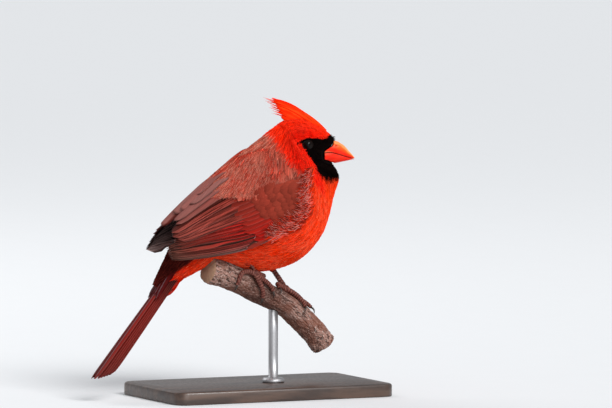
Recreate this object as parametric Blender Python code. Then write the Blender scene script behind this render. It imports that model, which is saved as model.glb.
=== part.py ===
"""A male northern cardinal, life size, perched on a cut length of branch that a flat display stand holds up.

The bird faces +X, its left side is +Y and its head is turned to its right. Sizes are in millimetres
and become metres when a mesh is made. The origin is the centre of the stand's underside.
"""

import math

import bmesh
import bpy
import numpy as np
from mathutils import Vector

MM = 0.001
GAP = 0.35
MERGE = 0.0003
SMOOTH_ANGLE = 40

# Places on the body, as (x, z) in its middle plane
HEAD_CENTRE = np.array([30.5, 155.1])
HEAD_TURN = math.radians(-25)
TURN_PIVOT_X = 30.0
BODY_SIDES = 28

# Each station is one section: upper x and z, lower x and z, half-width, how far down it is widest,
# and how far its sides are swept back
TORSO_STATIONS = (
    (-67, 81.5, -60, 72.8, 5.4, 0.50, 0),
    (-62, 90, -54.5, 74.5, 9.0, 0.50, 0),
    (-56, 101, -44, 79.5, 15, 0.50, 0),
    (-44, 120.5, -31, 84.5, 22.5, 0.50, 0),
    (-31, 136, -15, 79.6, 27.5, 0.52, 0),
    (-17, 147.5, 5, 78.8, 30.5, 0.55, 0),
    (-5, 156.5, 25, 84.5, 31, 0.56, 0),
    (4, 162.6, 39.5, 97.5, 28.8, 0.55, 0.5),
    (9.5, 166.2, 46.5, 111, 25.0, 0.52, 1.5),
)
NECK_STATIONS = (
    (13.2, 168.7, 50.0, 123.5, 21.0, 0.50, 3),
    (15.6, 170.2, 52.6, 131.5, 17.8, 0.50, 5),
)
# The share of the head's turn, from the last but one torso station to the second of the head
NECK_TURNS = (0.08, 0.20, 0.38, 0.58, 0.78, 0.93)
# The head's stations are measured from HEAD_CENTRE, and turn with the head
HEAD_STATIONS = (
    (-13.3, 16.0, 23.2, -19.6, 15.6, 0.50, 6.8),
    (-9.5, 17.9, 22.9, -17.2, 14.4, 0.50, 8.6),
    (-3.0, 18.6, 22.3, -15.2, 13.1, 0.51, 9.8),
    (5.0, 16.6, 21.6, -13.6, 11.9, 0.52, 10.5),
    (11.0, 13.6, 20.9, -12.4, 10.5, 0.54, 9.8),
    (15.8, 10.2, 20.2, -11.5, 8.8, 0.56, 8.6),
    (20.2, 6.2, 20.4, -10.5, 6.9, 0.56, 7.3),
)

EYE_PLACE = (3.6, 2.7)
EYE_RADIUS = 3.8
EYE_OUT = 8.9
LID_RADIUS = 3.2
LID_THICKNESS = 0.6
LID_OUT = 2.85
LID_TILT = (-0.17, -0.08)
LID_HEIGHT = 0.9

# The bill, measured from HEAD_CENTRE: the ridge, the line of the mouth and the underside
BILL_RIDGE = ((9, 6.3), (20.4, 4.7), (24.1, 3.1), (26.9, 1.1), (29.3, -1.7), (31.3, -3.9), (33.0, -6.0))
MOUTH_LINE = ((8, -4.9), (12.6, -3.1), (16.0, -2.3), (19.4, -2.6), (23.4, -3.7), (28.2, -5.3), (33.0, -6.6))
BILL_UNDERSIDE = ((8, -9.6), (13.2, -9.8), (17.6, -9.8), (21.4, -9.3), (25.0, -8.6), (28.6, -7.8), (32.0, -7.0))
BILL_HALF_WIDTHS = (6.4, 6.2, 5.5, 4.5, 3.3, 2.0, 0.5)
NOSTRIL_PLACE = (21.6, 1.9)

# The crest, measured from HEAD_CENTRE: its highest feather's line and its lowest one's
CREST_HIGH = ((17.0, 8.6), (13.2, 13.8), (6.5, 19.8), (-1.6, 24.6), (-10.4, 29.0), (-19.6, 32.2))
CREST_LOW = ((-1.0, 14.5), (-3.6, 16.0), (-6.2, 17.0), (-8.6, 17.6), (-11.0, 18.2), (-13.4, 19.2))
# How many leaves stand side by side in each level, as places across
CREST_LEVELS = (
    (0,), (-0.5, 0.5), (-0.9, 0.1, 1.0), (-1.1, 1.2), (-1.5, -0.1, 1.4), (-1.0, 1.1), (-1.8, 0.1, 1.7), (-1.2, 1.0),
    (-2.0, -0.6, 0.7, 2.0),
)
CREST_SPREAD = 2.5
CREST_FEATHER_WIDTH = 4.8
CREST_FEATHER_THICKNESS = 1.2
CREST_SHAPE = ((0.0, 0.75), (0.3, 1.0), (0.6, 0.9), (0.85, 0.5), (1.0, 0.08))

# The folded wing lies along an axis from the shoulder to the tip
WING_START = np.array([28.0, 0.0, 137.0])
WING_ALONG = np.array([-0.9155, 0.0, -0.4023])
WING_UP = np.array([-0.4023, 0.0, 0.9155])
WING_LENGTH = 110.0
WING_STEPS = (0, 20, 40, 60, 80, 100, 110)
WING_HALF_WIDTHS = (25.5, 31.2, 32.4, 30.4, 24.8, 18.4, 16.0)
WING_RIDGES = (34, 31, 25.3, 19.2, 13.8, 7.4, 2.4)
WING_MIDDLES = (-8, -9, -9, -8, -5.5, -2.5, -1.0)
WING_BELLY = 36.0
WING_CORE_LENGTH = 54.0
WING_EDGE_STEPS = (2, 8, 16, 30, 44, 54)
WING_TOP_EDGE = (72, 56, 46, 34, 14, 6)
WING_LOW_EDGE = (84, 92, 98, 103, 105, 103)
PRIMARIES = 7
SECONDARIES = 6
GREATER_COVERTS = 8
MEDIAN_COVERTS = 6
HAND_COVERTS = 3
SCAPULARS = 4
# A feather's width at shares of its length
ROUND_TIP = ((0.0, 0.45), (0.4, 1.0), (0.8, 0.98), (0.94, 0.76), (1.0, 0.28))
SHORT_TIP = ((0.0, 0.6), (0.55, 1.0), (0.88, 0.86), (1.0, 0.30))
NARROW_TIP = ((0.0, 0.6), (0.4, 1.0), (0.75, 0.86), (0.92, 0.55), (1.0, 0.14))
# Each tertial's reach along the wing, its angles at root and tip, and its width
TERTIALS = ((98.0, 50, 43, 10.5), (91.0, 34, 27, 11.0), (83.0, 19, 13, 10.5), (74.0, 9, 8.5, 6.5))

TAIL_ROOT = np.array([-59.0, 0.0, 81.5])
TAIL_PITCH = math.radians(51)
TAIL_LENGTH = 86.0
TAIL_PAIRS = 6
TAIL_FEATHER_WIDTH = 10.5
TAIL_FEATHER_THICKNESS = 0.6
TAIL_STEP = 0.8
TAIL_ARCH = 0.12
TAIL_SHAPE = ((0.0, 0.6), (0.25, 0.9), (0.55, 1.0), (0.85, 1.0), (0.95, 0.86), (0.985, 0.6), (1.0, 0.3))

PERCH_ROUTE = ((-40, -12, 81), (-23.5, -9, 76), (-1, -5.2, 65.6), (21, -1.3, 54.3), (38.5, 1.8, 39.7), (47, 3.3, 30))
PERCH_RADIUS = 8.1
PERCH_SIDES = 14

BASE_SIZE = (150.0, 90.0, 8.0)
ROD_PLACE = (9.0, -3.4)
ROD_RADIUS = 3.0
COLLAR_RADIUS = 7.0

COLOURS = {
    "torso": (0.55, 0.035, 0.012), "neck": (0.60, 0.035, 0.012), "head": (0.70, 0.030, 0.010),
    "wing": (0.20, 0.030, 0.020), "tail": (0.16, 0.015, 0.012), "thigh": (0.60, 0.045, 0.012),
    "bill": (0.75, 0.13, 0.04), "eye": (0.006, 0.005, 0.005), "tarsus": (0.16, 0.05, 0.04),
    "foot": (0.16, 0.05, 0.04), "claw": (0.03, 0.02, 0.02), "perch": (0.22, 0.13, 0.09),
    "stand": (0.02, 0.02, 0.022),
}


def clear_scene():
    for old in list(bpy.data.objects):
        bpy.data.objects.remove(old, do_unlink=True)


def through(rows, at):
    """The value at a place counted in rows, on a smooth curve through all the rows."""
    rows = np.asarray(rows, float)
    last = len(rows) - 1
    at = min(max(at, 0.0), float(last))
    i = min(int(at), last - 1)
    f = at - i
    before, after = rows[max(i - 1, 0)], rows[min(i + 2, last)]
    a, b = rows[i], rows[i + 1]
    slope_a, slope_b = (b - before) / 2, (after - a) / 2
    if i == 0:
        slope_a = b - a
    if i == last - 1:
        slope_b = b - a
    f2, f3 = f * f, f * f * f
    return (2 * f3 - 3 * f2 + 1) * a + (f3 - 2 * f2 + f) * slope_a + (3 * f2 - 2 * f3) * b + (f3 - f2) * slope_b


def lookup(steps, values, at):
    """A smooth value at a distance, from values given at a few distances."""
    steps = np.asarray(steps, float)
    i = int(np.clip(np.searchsorted(steps, at) - 1, 0, len(steps) - 2))
    f = float(np.clip((at - steps[i]) / (steps[i + 1] - steps[i]), 0, 1))
    return float(through(np.asarray(values, float).reshape(-1, 1), i + f)[0])


def finish(name, mesh_edit, colour):
    """Turns millimetre geometry into a named object in metres with its own material."""
    bmesh.ops.triangulate(mesh_edit, faces=mesh_edit.faces[:])
    bmesh.ops.recalc_face_normals(mesh_edit, faces=mesh_edit.faces[:])
    if mesh_edit.calc_volume(signed=True) < 0:
        bmesh.ops.reverse_faces(mesh_edit, faces=mesh_edit.faces[:])
    bmesh.ops.scale(mesh_edit, vec=(MM, MM, MM), verts=mesh_edit.verts[:])
    mesh = bpy.data.meshes.new(name)
    mesh_edit.to_mesh(mesh)
    mesh_edit.free()
    obj = bpy.data.objects.new(name, mesh)
    bpy.context.scene.collection.objects.link(obj)
    paint(obj, colour)
    smooth(mesh)
    return obj


def smooth(mesh):
    mesh.shade_smooth()
    mesh.set_sharp_from_angle(angle=math.radians(SMOOTH_ANGLE))


def paint(obj, colour, roughness=0.6):
    material = bpy.data.materials.new(obj.name)
    material.use_nodes = True
    shader = material.node_tree.nodes["Principled BSDF"]
    shader.inputs["Base Color"].default_value = (*COLOURS[colour], 1)
    shader.inputs["Roughness"].default_value = roughness
    obj.data.materials.clear()
    obj.data.materials.append(material)


def add_loft(mesh_edit, rings, close=True):
    """Joins rings of points with quads and closes both ends with a fan."""
    made = [[mesh_edit.verts.new(Vector(p)) for p in ring] for ring in rings]
    for a, b in zip(made, made[1:]):
        count = len(a)
        for i in range(count):
            j = (i + 1) % count
            mesh_edit.faces.new((a[i], a[j], b[j], b[i]))
    if close:
        for ring, points in ((made[0], rings[0]), (made[-1], rings[-1])):
            centre = mesh_edit.verts.new(Vector(np.mean(points, axis=0)))
            for i in range(len(ring)):
                mesh_edit.faces.new((ring[i], ring[(i + 1) % len(ring)], centre))
    return made


def loft(name, rings, colour):
    mesh_edit = bmesh.new()
    add_loft(mesh_edit, rings)
    return finish(name, mesh_edit, colour)


def tube(name, path, radii, sides, colour, flat=1.0):
    """A round bar along a path, its section kept upright; flat under 1 lowers its height."""
    path = np.asarray(path, float)
    rings = []
    side = np.cross(path[1] - path[0], (0, 0, 1.0))
    if np.linalg.norm(side) < 1e-6:
        side = np.array([0, 1.0, 0])
    for i, centre in enumerate(path):
        ahead = path[min(i + 1, len(path) - 1)] - path[max(i - 1, 0)]
        ahead /= np.linalg.norm(ahead)
        side = side - ahead * side.dot(ahead)
        side /= np.linalg.norm(side)
        up = np.cross(side, ahead)
        turns = [2 * math.pi * k / sides for k in range(sides)]
        rings.append([centre + radii[i] * (math.cos(a) * side + flat * math.sin(a) * up) for a in turns])
    return loft(name, rings, colour)


def inflated(obj, distance):
    """A hidden copy of a solid whose surface is pushed out by a distance."""
    copy = obj.copy()
    copy.data = obj.data.copy()
    bpy.context.scene.collection.objects.link(copy)
    copy.name = obj.name + "_cutter"
    copy.hide_render = True
    copy.display_type = "WIRE"
    edit = bmesh.new()
    edit.from_mesh(copy.data)
    edit.normal_update()
    places = [v.co + v.normal * (v.calc_shell_factor() * distance * MM) for v in edit.verts]
    for vert, place in zip(edit.verts, places):
        vert.co = place
    edit.to_mesh(copy.data)
    edit.free()
    return copy


def boolean(obj, others, operation, solver="MANIFOLD"):
    """Applies one Boolean between an object and a list of closed meshes, then removes them."""
    tools = bpy.data.collections.new("tools")
    bpy.context.scene.collection.children.link(tools)
    for other in others:
        tools.objects.link(other)
    modifier = obj.modifiers.new("Boolean", "BOOLEAN")
    modifier.operation = operation
    modifier.solver = solver
    modifier.operand_type = "COLLECTION"
    modifier.collection = tools
    bpy.context.view_layer.update()
    graph = bpy.context.evaluated_depsgraph_get()
    result = bpy.data.meshes.new_from_object(obj.evaluated_get(graph))
    obj.modifiers.clear()
    obj.data = result
    for other in others:
        bpy.data.objects.remove(other, do_unlink=True)
    bpy.data.collections.remove(tools)
    keep_largest(obj)


def cut_clear(obj, *neighbours):
    """Cuts an object back so that it meets each neighbour face to face."""
    boolean(obj, [inflated(n, GAP) for n in neighbours], "DIFFERENCE")


def keep_largest(obj):
    """Keeps only the largest closed surface of a mesh."""
    edit = bmesh.new()
    edit.from_mesh(obj.data)
    bmesh.ops.remove_doubles(edit, verts=edit.verts[:], dist=MERGE * MM)
    bmesh.ops.triangulate(edit, faces=edit.faces[:])
    edit.verts.ensure_lookup_table()
    seen = set()
    shells = []
    for start in edit.verts:
        if start in seen:
            continue
        shell = {start}
        front = [start]
        while front:
            vert = front.pop()
            for edge in vert.link_edges:
                other = edge.other_vert(vert)
                if other not in shell:
                    shell.add(other)
                    front.append(other)
        seen |= shell
        shells.append(shell)
    shells.sort(key=lambda s: extent(s), reverse=True)
    for shell in shells[1:]:
        bmesh.ops.delete(edit, geom=list(shell), context="VERTS")
    edit.to_mesh(obj.data)
    edit.free()
    smooth(obj.data)


def extent(shell):
    places = np.array([v.co for v in shell])
    return float(np.linalg.norm(places.max(axis=0) - places.min(axis=0)))


def body_stations():
    """All stations from tail root to face as rows, each with its share of the head's turn last."""
    stations = TORSO_STATIONS + NECK_STATIONS
    hx, hz = HEAD_CENTRE
    for ux, uz, lx, lz, *sizes in HEAD_STATIONS:
        stations += ((ux + hx, uz + hz, lx + hx, lz + hz, *sizes),)
    turns = np.ones(len(stations))
    start = len(TORSO_STATIONS) - 2
    turns[:start] = 0
    turns[start:start + len(NECK_TURNS)] = NECK_TURNS
    return np.column_stack([np.array(stations, float), turns])


BODY = body_stations()
NECK_AT = len(TORSO_STATIONS) - 0.9
HEAD_AT = len(TORSO_STATIONS) + len(NECK_STATIONS) - 1.0
FACE_AT = len(BODY) - 1.0


def turned(point, share=1.0):
    """A point of the straight bird, turned about the neck by a share of the head's turn."""
    x, y, z = point
    angle = HEAD_TURN * share
    dx = x - TURN_PIVOT_X
    return np.array([
        TURN_PIVOT_X + dx * math.cos(angle) - y * math.sin(angle),
        dx * math.sin(angle) + y * math.cos(angle),
        z,
    ])


def eased(share):
    share = min(max(share, 0.0), 1.0)
    return share * share * (3 - 2 * share)


def swept(angle):
    """How much of the sweep a place takes: the feathers' edge runs back from the forehead to the gape."""
    return eased((angle - 40) / 45) * eased((175 - angle) / 65)


def body_point(at, angle):
    """A point of the body's surface: at counts stations, and angle is 0 on the back and 180 below."""
    ux, uz, lx, lz, width, low, sweep, turn = through(BODY, at)
    down = (0.5 - 0.5 * math.cos(angle)) ** (math.log(low) / math.log(0.5))
    back = sweep * swept(math.degrees(math.acos(math.cos(angle))))
    point = (ux + (lx - ux) * down - back, width * math.sin(angle), uz + (lz - uz) * down)
    return turned(point, turn)


def body_ring(at, shift=0.0):
    """One ring of the body, moved forward along its own normal by a shift."""
    turns = [2 * math.pi * i / BODY_SIDES for i in range(BODY_SIDES)]
    ring = np.array([body_point(at, a) for a in turns])
    normal = np.cross(ring[0] - ring[BODY_SIDES // 2], ring[BODY_SIDES // 4] - ring[3 * BODY_SIDES // 4])
    normal /= np.linalg.norm(normal)
    ahead = body_point(min(at + 0.2, FACE_AT), math.pi / 2) - body_point(max(at - 0.2, 0), math.pi / 2)
    if normal.dot(ahead) < 0:
        normal = -normal
    return ring + normal * shift


def head_point(x, y, z):
    """A point measured from the head's centre, in the turned head."""
    return turned((HEAD_CENTRE[0] + x, y, HEAD_CENTRE[1] + z))


def make_torso(perch):
    count = 15
    rings = [body_ring(NECK_AT * i / count) for i in range(count + 1)]
    torso = loft("torso", rings, "torso")
    cut_clear(torso, perch)
    return torso


def make_neck(torso):
    rings = [body_ring(NECK_AT, GAP)]
    for share in (0.35, 0.7):
        rings.append(body_ring(NECK_AT + (HEAD_AT - NECK_AT) * share))
    rings.append(body_ring(HEAD_AT))
    neck = loft("neck", rings, "neck")
    cut_clear(neck, torso)
    return neck


def make_eye(name, side):
    edit = bmesh.new()
    centre = Vector(head_point(EYE_PLACE[0], side * EYE_OUT, EYE_PLACE[1]))
    bmesh.ops.create_icosphere(edit, subdivisions=2, radius=EYE_RADIUS)
    bmesh.ops.translate(edit, vec=centre, verts=edit.verts[:])
    return finish(name, edit, "eye")


def make_lid(side):
    """The rim of skin round one eye, a ring that lies on the side of the head."""
    rings = []
    turns, sides = 16, 6
    for i in range(turns):
        angle = 2 * math.pi * i / turns
        ring = []
        for k in range(sides):
            a = 2 * math.pi * k / sides
            reach = LID_RADIUS + LID_THICKNESS * math.cos(a)
            x, z = reach * math.cos(angle), LID_HEIGHT * reach * math.sin(angle)
            out = EYE_OUT + LID_OUT + LID_TILT[0] * x + LID_TILT[1] * z + LID_THICKNESS * math.sin(a)
            ring.append(head_point(EYE_PLACE[0] + x, side * out, EYE_PLACE[1] + z))
        rings.append(ring)
    edit = bmesh.new()
    made = add_loft(edit, rings, close=False)
    first, last = made[0], made[-1]
    for k in range(sides):
        j = (k + 1) % sides
        edit.faces.new((last[k], last[j], first[j], first[k]))
    return finish("lid", edit, "head")


def crest_line(low, at):
    """A place on the crest's side face: low is 0 on its highest feather and 1 on its lowest."""
    return (1 - low) * through(CREST_HIGH, at) + low * through(CREST_LOW, at)


def crest_feather(low, place, reach):
    """One leaf of the crest, upright in the middle and leaning inwards at the sides, swept to a point."""
    sections = []
    for share, wide in CREST_SHAPE:
        at = (len(CREST_HIGH) - 1) * share * reach
        ahead = crest_line(low, at + 0.1) - crest_line(low, at - 0.1)
        over = np.array([ahead[1], -ahead[0]]) / np.linalg.norm(ahead)
        half = 0.5 * CREST_FEATHER_WIDTH * wide
        middle = crest_line(low, at) - over * half * (1 - low)
        thick = 0.5 * CREST_FEATHER_THICKNESS * (1.0 if share < 0.8 else 0.7 if share < 1 else 0.4)
        y = place * CREST_SPREAD * (0.3 + 0.7 * low) * (1 - 0.55 * share)
        section = []
        for up, out in ((half, thick), (half, -thick), (-half, -thick), (-half, thick)):
            x, z = middle + over * up
            lean = 0.8 if up > 0 else 1.25
            section.append(head_point(x, lean * y + out, z))
        sections.append(section)
    edit = bmesh.new()
    add_slab(edit, sections)
    return finish("crest", edit, "head")


def crest_feathers():
    """The crest, level by level from its highest feather down to the nape."""
    rng = np.random.default_rng(7)
    feathers = []
    for level, places in enumerate(CREST_LEVELS):
        low = level / (len(CREST_LEVELS) - 1)
        for place in places:
            feathers.append(crest_feather(low, place, 1.0 - 0.08 * rng.random() * min(1, level)))
    return feathers


def make_head(neck, eyes):
    rings = [body_ring(HEAD_AT, GAP)]
    steps = 12
    for i in range(1, steps + 1):
        rings.append(body_ring(HEAD_AT + (FACE_AT - HEAD_AT) * i / steps))
    head = loft("head", rings, "head")
    boolean(head, [make_lid(-1), make_lid(1)] + crest_feathers(), "UNION")
    cut_clear(head, neck, *eyes)
    return head


def bill_rings(upper):
    """Rings of one half of the bill, round on the outside and flat along the mouth."""
    rings = []
    outer = BILL_RIDGE if upper else BILL_UNDERSIDE
    sign = 1 if upper else -1
    stations = 12
    for i in range(stations + 1):
        at = (len(outer) - 1) * i / stations
        top = through(outer, at)
        mouth = through(MOUTH_LINE, at)
        width = float(through(np.reshape(BILL_HALF_WIDTHS, (-1, 1)), at)[0]) * (1 if upper else 0.93)
        edge = mouth + (0, 0 if upper else -GAP)
        ring = []
        for k in range(9):
            a = math.pi * k / 8
            up = math.sin(a) ** 0.8
            place = edge + (top - edge) * up
            ring.append(head_point(place[0], width * math.cos(a), place[1]))
        for k in (1, 0, -1):
            dip = 0.15 * sign * (1 - abs(k))
            ring.append(head_point(edge[0], -0.5 * k * width, edge[1] + dip))
        rings.append(ring)
    return rings


def make_bill_upper(head):
    bill = loft("bill_upper", bill_rings(True), "bill")
    cut_clear(bill, head)
    pits = []
    for side in (-1, 1):
        edit = bmesh.new()
        bmesh.ops.create_icosphere(edit, subdivisions=1, radius=0.75)
        place = Vector(head_point(NOSTRIL_PLACE[0], side * 3.9, NOSTRIL_PLACE[1]))
        bmesh.ops.translate(edit, vec=place, verts=edit.verts[:])
        pits.append(finish("nostril", edit, "bill"))
    boolean(bill, pits, "DIFFERENCE")
    return bill


def make_bill_lower(head):
    bill = loft("bill_lower", bill_rings(False), "bill")
    cut_clear(bill, head)
    return bill


def wing_point(along, angle, out=0.0, side=-1):
    """A point on the folded wing's outer surface, at a distance from the shoulder and an angle from the ridge."""
    half = lookup(WING_STEPS, WING_HALF_WIDTHS, along) + out
    ridge = lookup(WING_STEPS, WING_RIDGES, along) + out
    middle = lookup(WING_STEPS, WING_MIDDLES, along)
    up = (ridge - middle) * math.cos(angle) if angle < math.pi / 2 else WING_BELLY * math.cos(angle)
    point = WING_START + WING_ALONG * along + WING_UP * (middle + up)
    point[1] = side * half * math.sin(angle)
    return point


def wing_angle(along, height):
    """The angle at which the wing's surface lies at a height over its axis."""
    ridge = lookup(WING_STEPS, WING_RIDGES, along)
    middle = lookup(WING_STEPS, WING_MIDDLES, along)
    reach = ridge - middle if height > middle else WING_BELLY
    return math.acos(max(-1.0, min(1.0, (height - middle) / reach)))


def add_slab(mesh_edit, sections):
    """A thin leaf from sections of four corners, both of its faces split along the same diagonals."""
    made = [[mesh_edit.verts.new(Vector(p)) for p in section] for section in sections]
    for a, b in zip(made, made[1:]):
        for i, j, flip in ((0, 1, False), (1, 2, False), (2, 3, True), (3, 0, False)):
            if flip:
                mesh_edit.faces.new((a[i], a[j], b[i]))
                mesh_edit.faces.new((a[j], b[j], b[i]))
            else:
                mesh_edit.faces.new((a[i], a[j], b[j]))
                mesh_edit.faces.new((a[i], b[j], b[i]))
    for end in (made[0], made[-1]):
        mesh_edit.faces.new((end[0], end[1], end[2]))
        mesh_edit.faces.new((end[0], end[2], end[3]))


def wing_vane(side, root, tip, width, base, step, thickness=0.95, shape=ROUND_TIP, bend=0.0):
    """One wing feather: root and tip are (distance along, angle), and its lower edge stands up by a step."""
    sections = []
    for share, wide in shape:
        along = root[0] + (tip[0] - root[0]) * share
        angle = root[1] + (tip[1] - root[1]) * share + math.radians(bend) * math.sin(math.pi * share)
        reach = np.linalg.norm(wing_point(along, angle + 0.02, 0, side) - wing_point(along, angle - 0.02, 0, side))
        half = 0.5 * width * wide / (reach / 0.04)
        thick = thickness * (1.0 if share < 0.9 else 0.75 if share < 1 else 0.45)
        high, low = angle - half, angle + half
        sections.append([
            wing_point(along, high, base + thick, side),
            wing_point(along, low, base + step + thick, side),
            wing_point(along, low, base + step, side),
            wing_point(along, high, base, side),
        ])
    edit = bmesh.new()
    add_slab(edit, sections)
    return finish("vane", edit, "wing")


def wing_core(side):
    """The folded arm and hand with the small smooth feathers over them."""
    rings = []
    across = 6
    for along in np.linspace(2, WING_CORE_LENGTH, 9):
        top = math.radians(lookup(WING_EDGE_STEPS, WING_TOP_EDGE, along))
        low = math.radians(lookup(WING_EDGE_STEPS, WING_LOW_EDGE, along))
        swell = 1.9 * math.sin(math.pi * min(1, max(0, along - 2) / (WING_CORE_LENGTH - 2)) ** 0.7)
        angles = [top + (low - top) * k / across for k in range(across + 1)]
        outer = [wing_point(along, a, swell * math.sin(math.pi * k / across) ** 0.5 - 0.2, side)
                 for k, a in enumerate(angles)]
        inner = [wing_point(along, a, -4.0, side) for a in reversed(angles)]
        rings.append(outer + inner)
    return rings


def wing_vanes(side):
    """All tiers of one wing, each drawn from a few sizes."""
    vanes = []
    for i in range(PRIMARIES):
        share = i / (PRIMARIES - 1)
        root = (44.0, wing_angle(44.0, -17.0 + 9.0 * share))
        reach = WING_LENGTH - 10.0 * (1 - share) ** 1.6 - 3.0 * share
        tip = (reach, wing_angle(reach, -6.4 * (1 - share) ** 1.5 - 2.6 + 4.2 * share))
        vanes.append(wing_vane(side, root, tip, 5.8, 0.0, 1.1, shape=NARROW_TIP, bend=1.5))
    for i in range(SECONDARIES):
        share = i / (SECONDARIES - 1)
        root = (42.0, wing_angle(42.0, -7.5 + 9.0 * share))
        reach = 102.5 - 7.0 * share
        tip = (reach, wing_angle(reach, 1.0 + 5.4 * share))
        vanes.append(wing_vane(side, root, tip, 6.4, 0.35, 1.15, bend=0.5))
    for reach, root_angle, tip_angle, width in TERTIALS:
        root = (40.0, math.radians(root_angle))
        tip = (reach, math.radians(tip_angle))
        vanes.append(wing_vane(side, root, tip, width, 0.9, 1.2, bend=-1.0))
    for i in range(GREATER_COVERTS):
        share = i / (GREATER_COVERTS - 1)
        root = (26.0 + 4 * share, wing_angle(28.0, -15.0 + 27.0 * share))
        reach = 57.0 + 6.0 * share
        tip = (reach, wing_angle(reach, -14.5 + 28.0 * share))
        vanes.append(wing_vane(side, root, tip, 6.4, 1.0, 1.1, shape=SHORT_TIP))
    for i in range(MEDIAN_COVERTS):
        share = i / (MEDIAN_COVERTS - 1)
        reach = 29.0 + 15.0 * share ** 0.7
        root = (reach - 17.0, wing_angle(reach - 17.0, -9.5 + 18.5 * share))
        tip = (reach, wing_angle(reach, -12.6 + 23.0 * share))
        vanes.append(wing_vane(side, root, tip, 6.8, 1.7, 1.0, shape=SHORT_TIP))
    for i in range(HAND_COVERTS):
        share = i / (HAND_COVERTS - 1)
        reach = 60.0 - 16.0 * share
        root = (reach - 26.0, wing_angle(reach - 26.0, -14.0))
        tip = (reach, wing_angle(reach, -17.4 + 2.2 * share))
        vanes.append(wing_vane(side, root, tip, 4.8, 0.9 + 0.4 * i, 0.9, shape=SHORT_TIP))
    for i in range(SCAPULARS):
        angle = math.radians(14.0 + 25.0 * i / (SCAPULARS - 1))
        vanes.append(wing_vane(side, (30.0, angle * 1.1), (60.0, angle), 10.0, 1.3, 0.9, shape=SHORT_TIP))
    return vanes


def make_wing(name, side, torso):
    """The folded wing: an arm with tiers of overlapping vanes rooted in it."""
    wing = loft(name, wing_core(side), "wing")
    boolean(wing, wing_vanes(side), "UNION")
    cut_clear(wing, torso)
    return wing


def tail_point(along, y, up):
    """A point measured from the tail's root: along it, across it and over its upper face."""
    ahead = np.array([-math.cos(TAIL_PITCH), 0, -math.sin(TAIL_PITCH)])
    over = np.array([-math.sin(TAIL_PITCH), 0, math.cos(TAIL_PITCH)])
    return TAIL_ROOT + ahead * along + over * up + np.array([0, y, 0])


def tail_vane(side, pair):
    """One tail feather: the middle pair is on top, and each next pair lies under it and reaches further out."""
    sections = []
    reach = TAIL_LENGTH - 1.3 * pair ** 1.05
    over_middle = 1.8 if pair == 0 and side < 0 else -0.4
    lift = TAIL_STEP * (0.9 if pair == 0 and side < 0 else -pair)
    for share, wide in TAIL_SHAPE:
        along = -5.0 + (reach + 5.0) * share
        spread = min(1.0, max(0.0, along) / TAIL_LENGTH)
        outer = (4.6 + 0.5 * pair) * (1 - spread) + (6.2 + 1.1 * pair) * spread
        inner = max(-over_middle, outer - TAIL_FEATHER_WIDTH)
        middle = 0.5 * (outer + inner)
        inner, outer = middle + (inner - middle) * wide, middle + (outer - middle) * wide
        thick = TAIL_FEATHER_THICKNESS * (1.0 if share < 1 else 0.6)
        places = ((inner, lift + thick), (outer, lift + thick), (outer, lift), (inner, lift))
        sections.append([tail_point(along, side * y, up - TAIL_ARCH * y) for y, up in places])
    edit = bmesh.new()
    add_slab(edit, sections)
    return finish("vane", edit, "tail")


def make_tail(torso):
    """The folded tail: twelve vanes that fan from one root."""
    rings = []
    low = -TAIL_STEP * (TAIL_PAIRS - 1) - 0.6
    for along, width, top in ((-7, 5.0, 1.0), (-2, 6.4, 1.6), (6, 6.9, 1.5), (12, 6.6, 1.1), (17, 5.2, 0.2)):
        ring = []
        for k in range(12):
            a = 2 * math.pi * k / 12
            middle, half = 0.5 * (top + low), 0.5 * (top - low)
            y = width * math.cos(a)
            ring.append(tail_point(along, y, middle + half * math.sin(a) - TAIL_ARCH * abs(y)))
        rings.append(ring)
    tail = loft("tail", rings, "tail")
    vanes = [tail_vane(side, pair) for pair in range(TAIL_PAIRS) for side in (-1, 1)]
    boolean(tail, vanes, "UNION")
    cut_clear(tail, torso)
    return tail


def perch_frame(share):
    """The centre of the branch and its two directions across, side and up, at a share of its length."""
    at = share * (len(PERCH_ROUTE) - 1)
    centre = through(PERCH_ROUTE, at)
    step = 0.05
    ahead = through(PERCH_ROUTE, at + step) - through(PERCH_ROUTE, at - step)
    ahead /= np.linalg.norm(ahead)
    side = np.cross(ahead, (0, 0, 1.0))
    side /= np.linalg.norm(side)
    return centre, side, np.cross(side, ahead)


def perch_radius(share, angle):
    """The branch's radius, uneven as weathered wood is."""
    swell = 0.45 * math.sin(7.3 * share + 0.6) + 0.25 * math.sin(17 * share + 2)
    grain = 0.30 * math.sin(3 * angle + 4 * share) + 0.22 * math.sin(5 * angle - 7 * share)
    return PERCH_RADIUS + swell + grain


def perch_point(share, angle, out=0.0):
    """A point over the branch: angle 0 is on top, and it grows towards the bird's right."""
    centre, side, up = perch_frame(share)
    reach = perch_radius(share, angle) + out
    return centre + reach * (math.cos(angle) * up + math.sin(angle) * side)


def make_perch():
    rings = []
    stations = 22
    turns = [2 * math.pi * k / PERCH_SIDES for k in range(PERCH_SIDES)]
    for i in range(stations + 1):
        share = i / stations
        out = -1.2 if i in (0, stations) else 0.0
        rings.append([perch_point(share, a, out) for a in turns])
    return loft("perch", rings, "perch")


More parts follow.
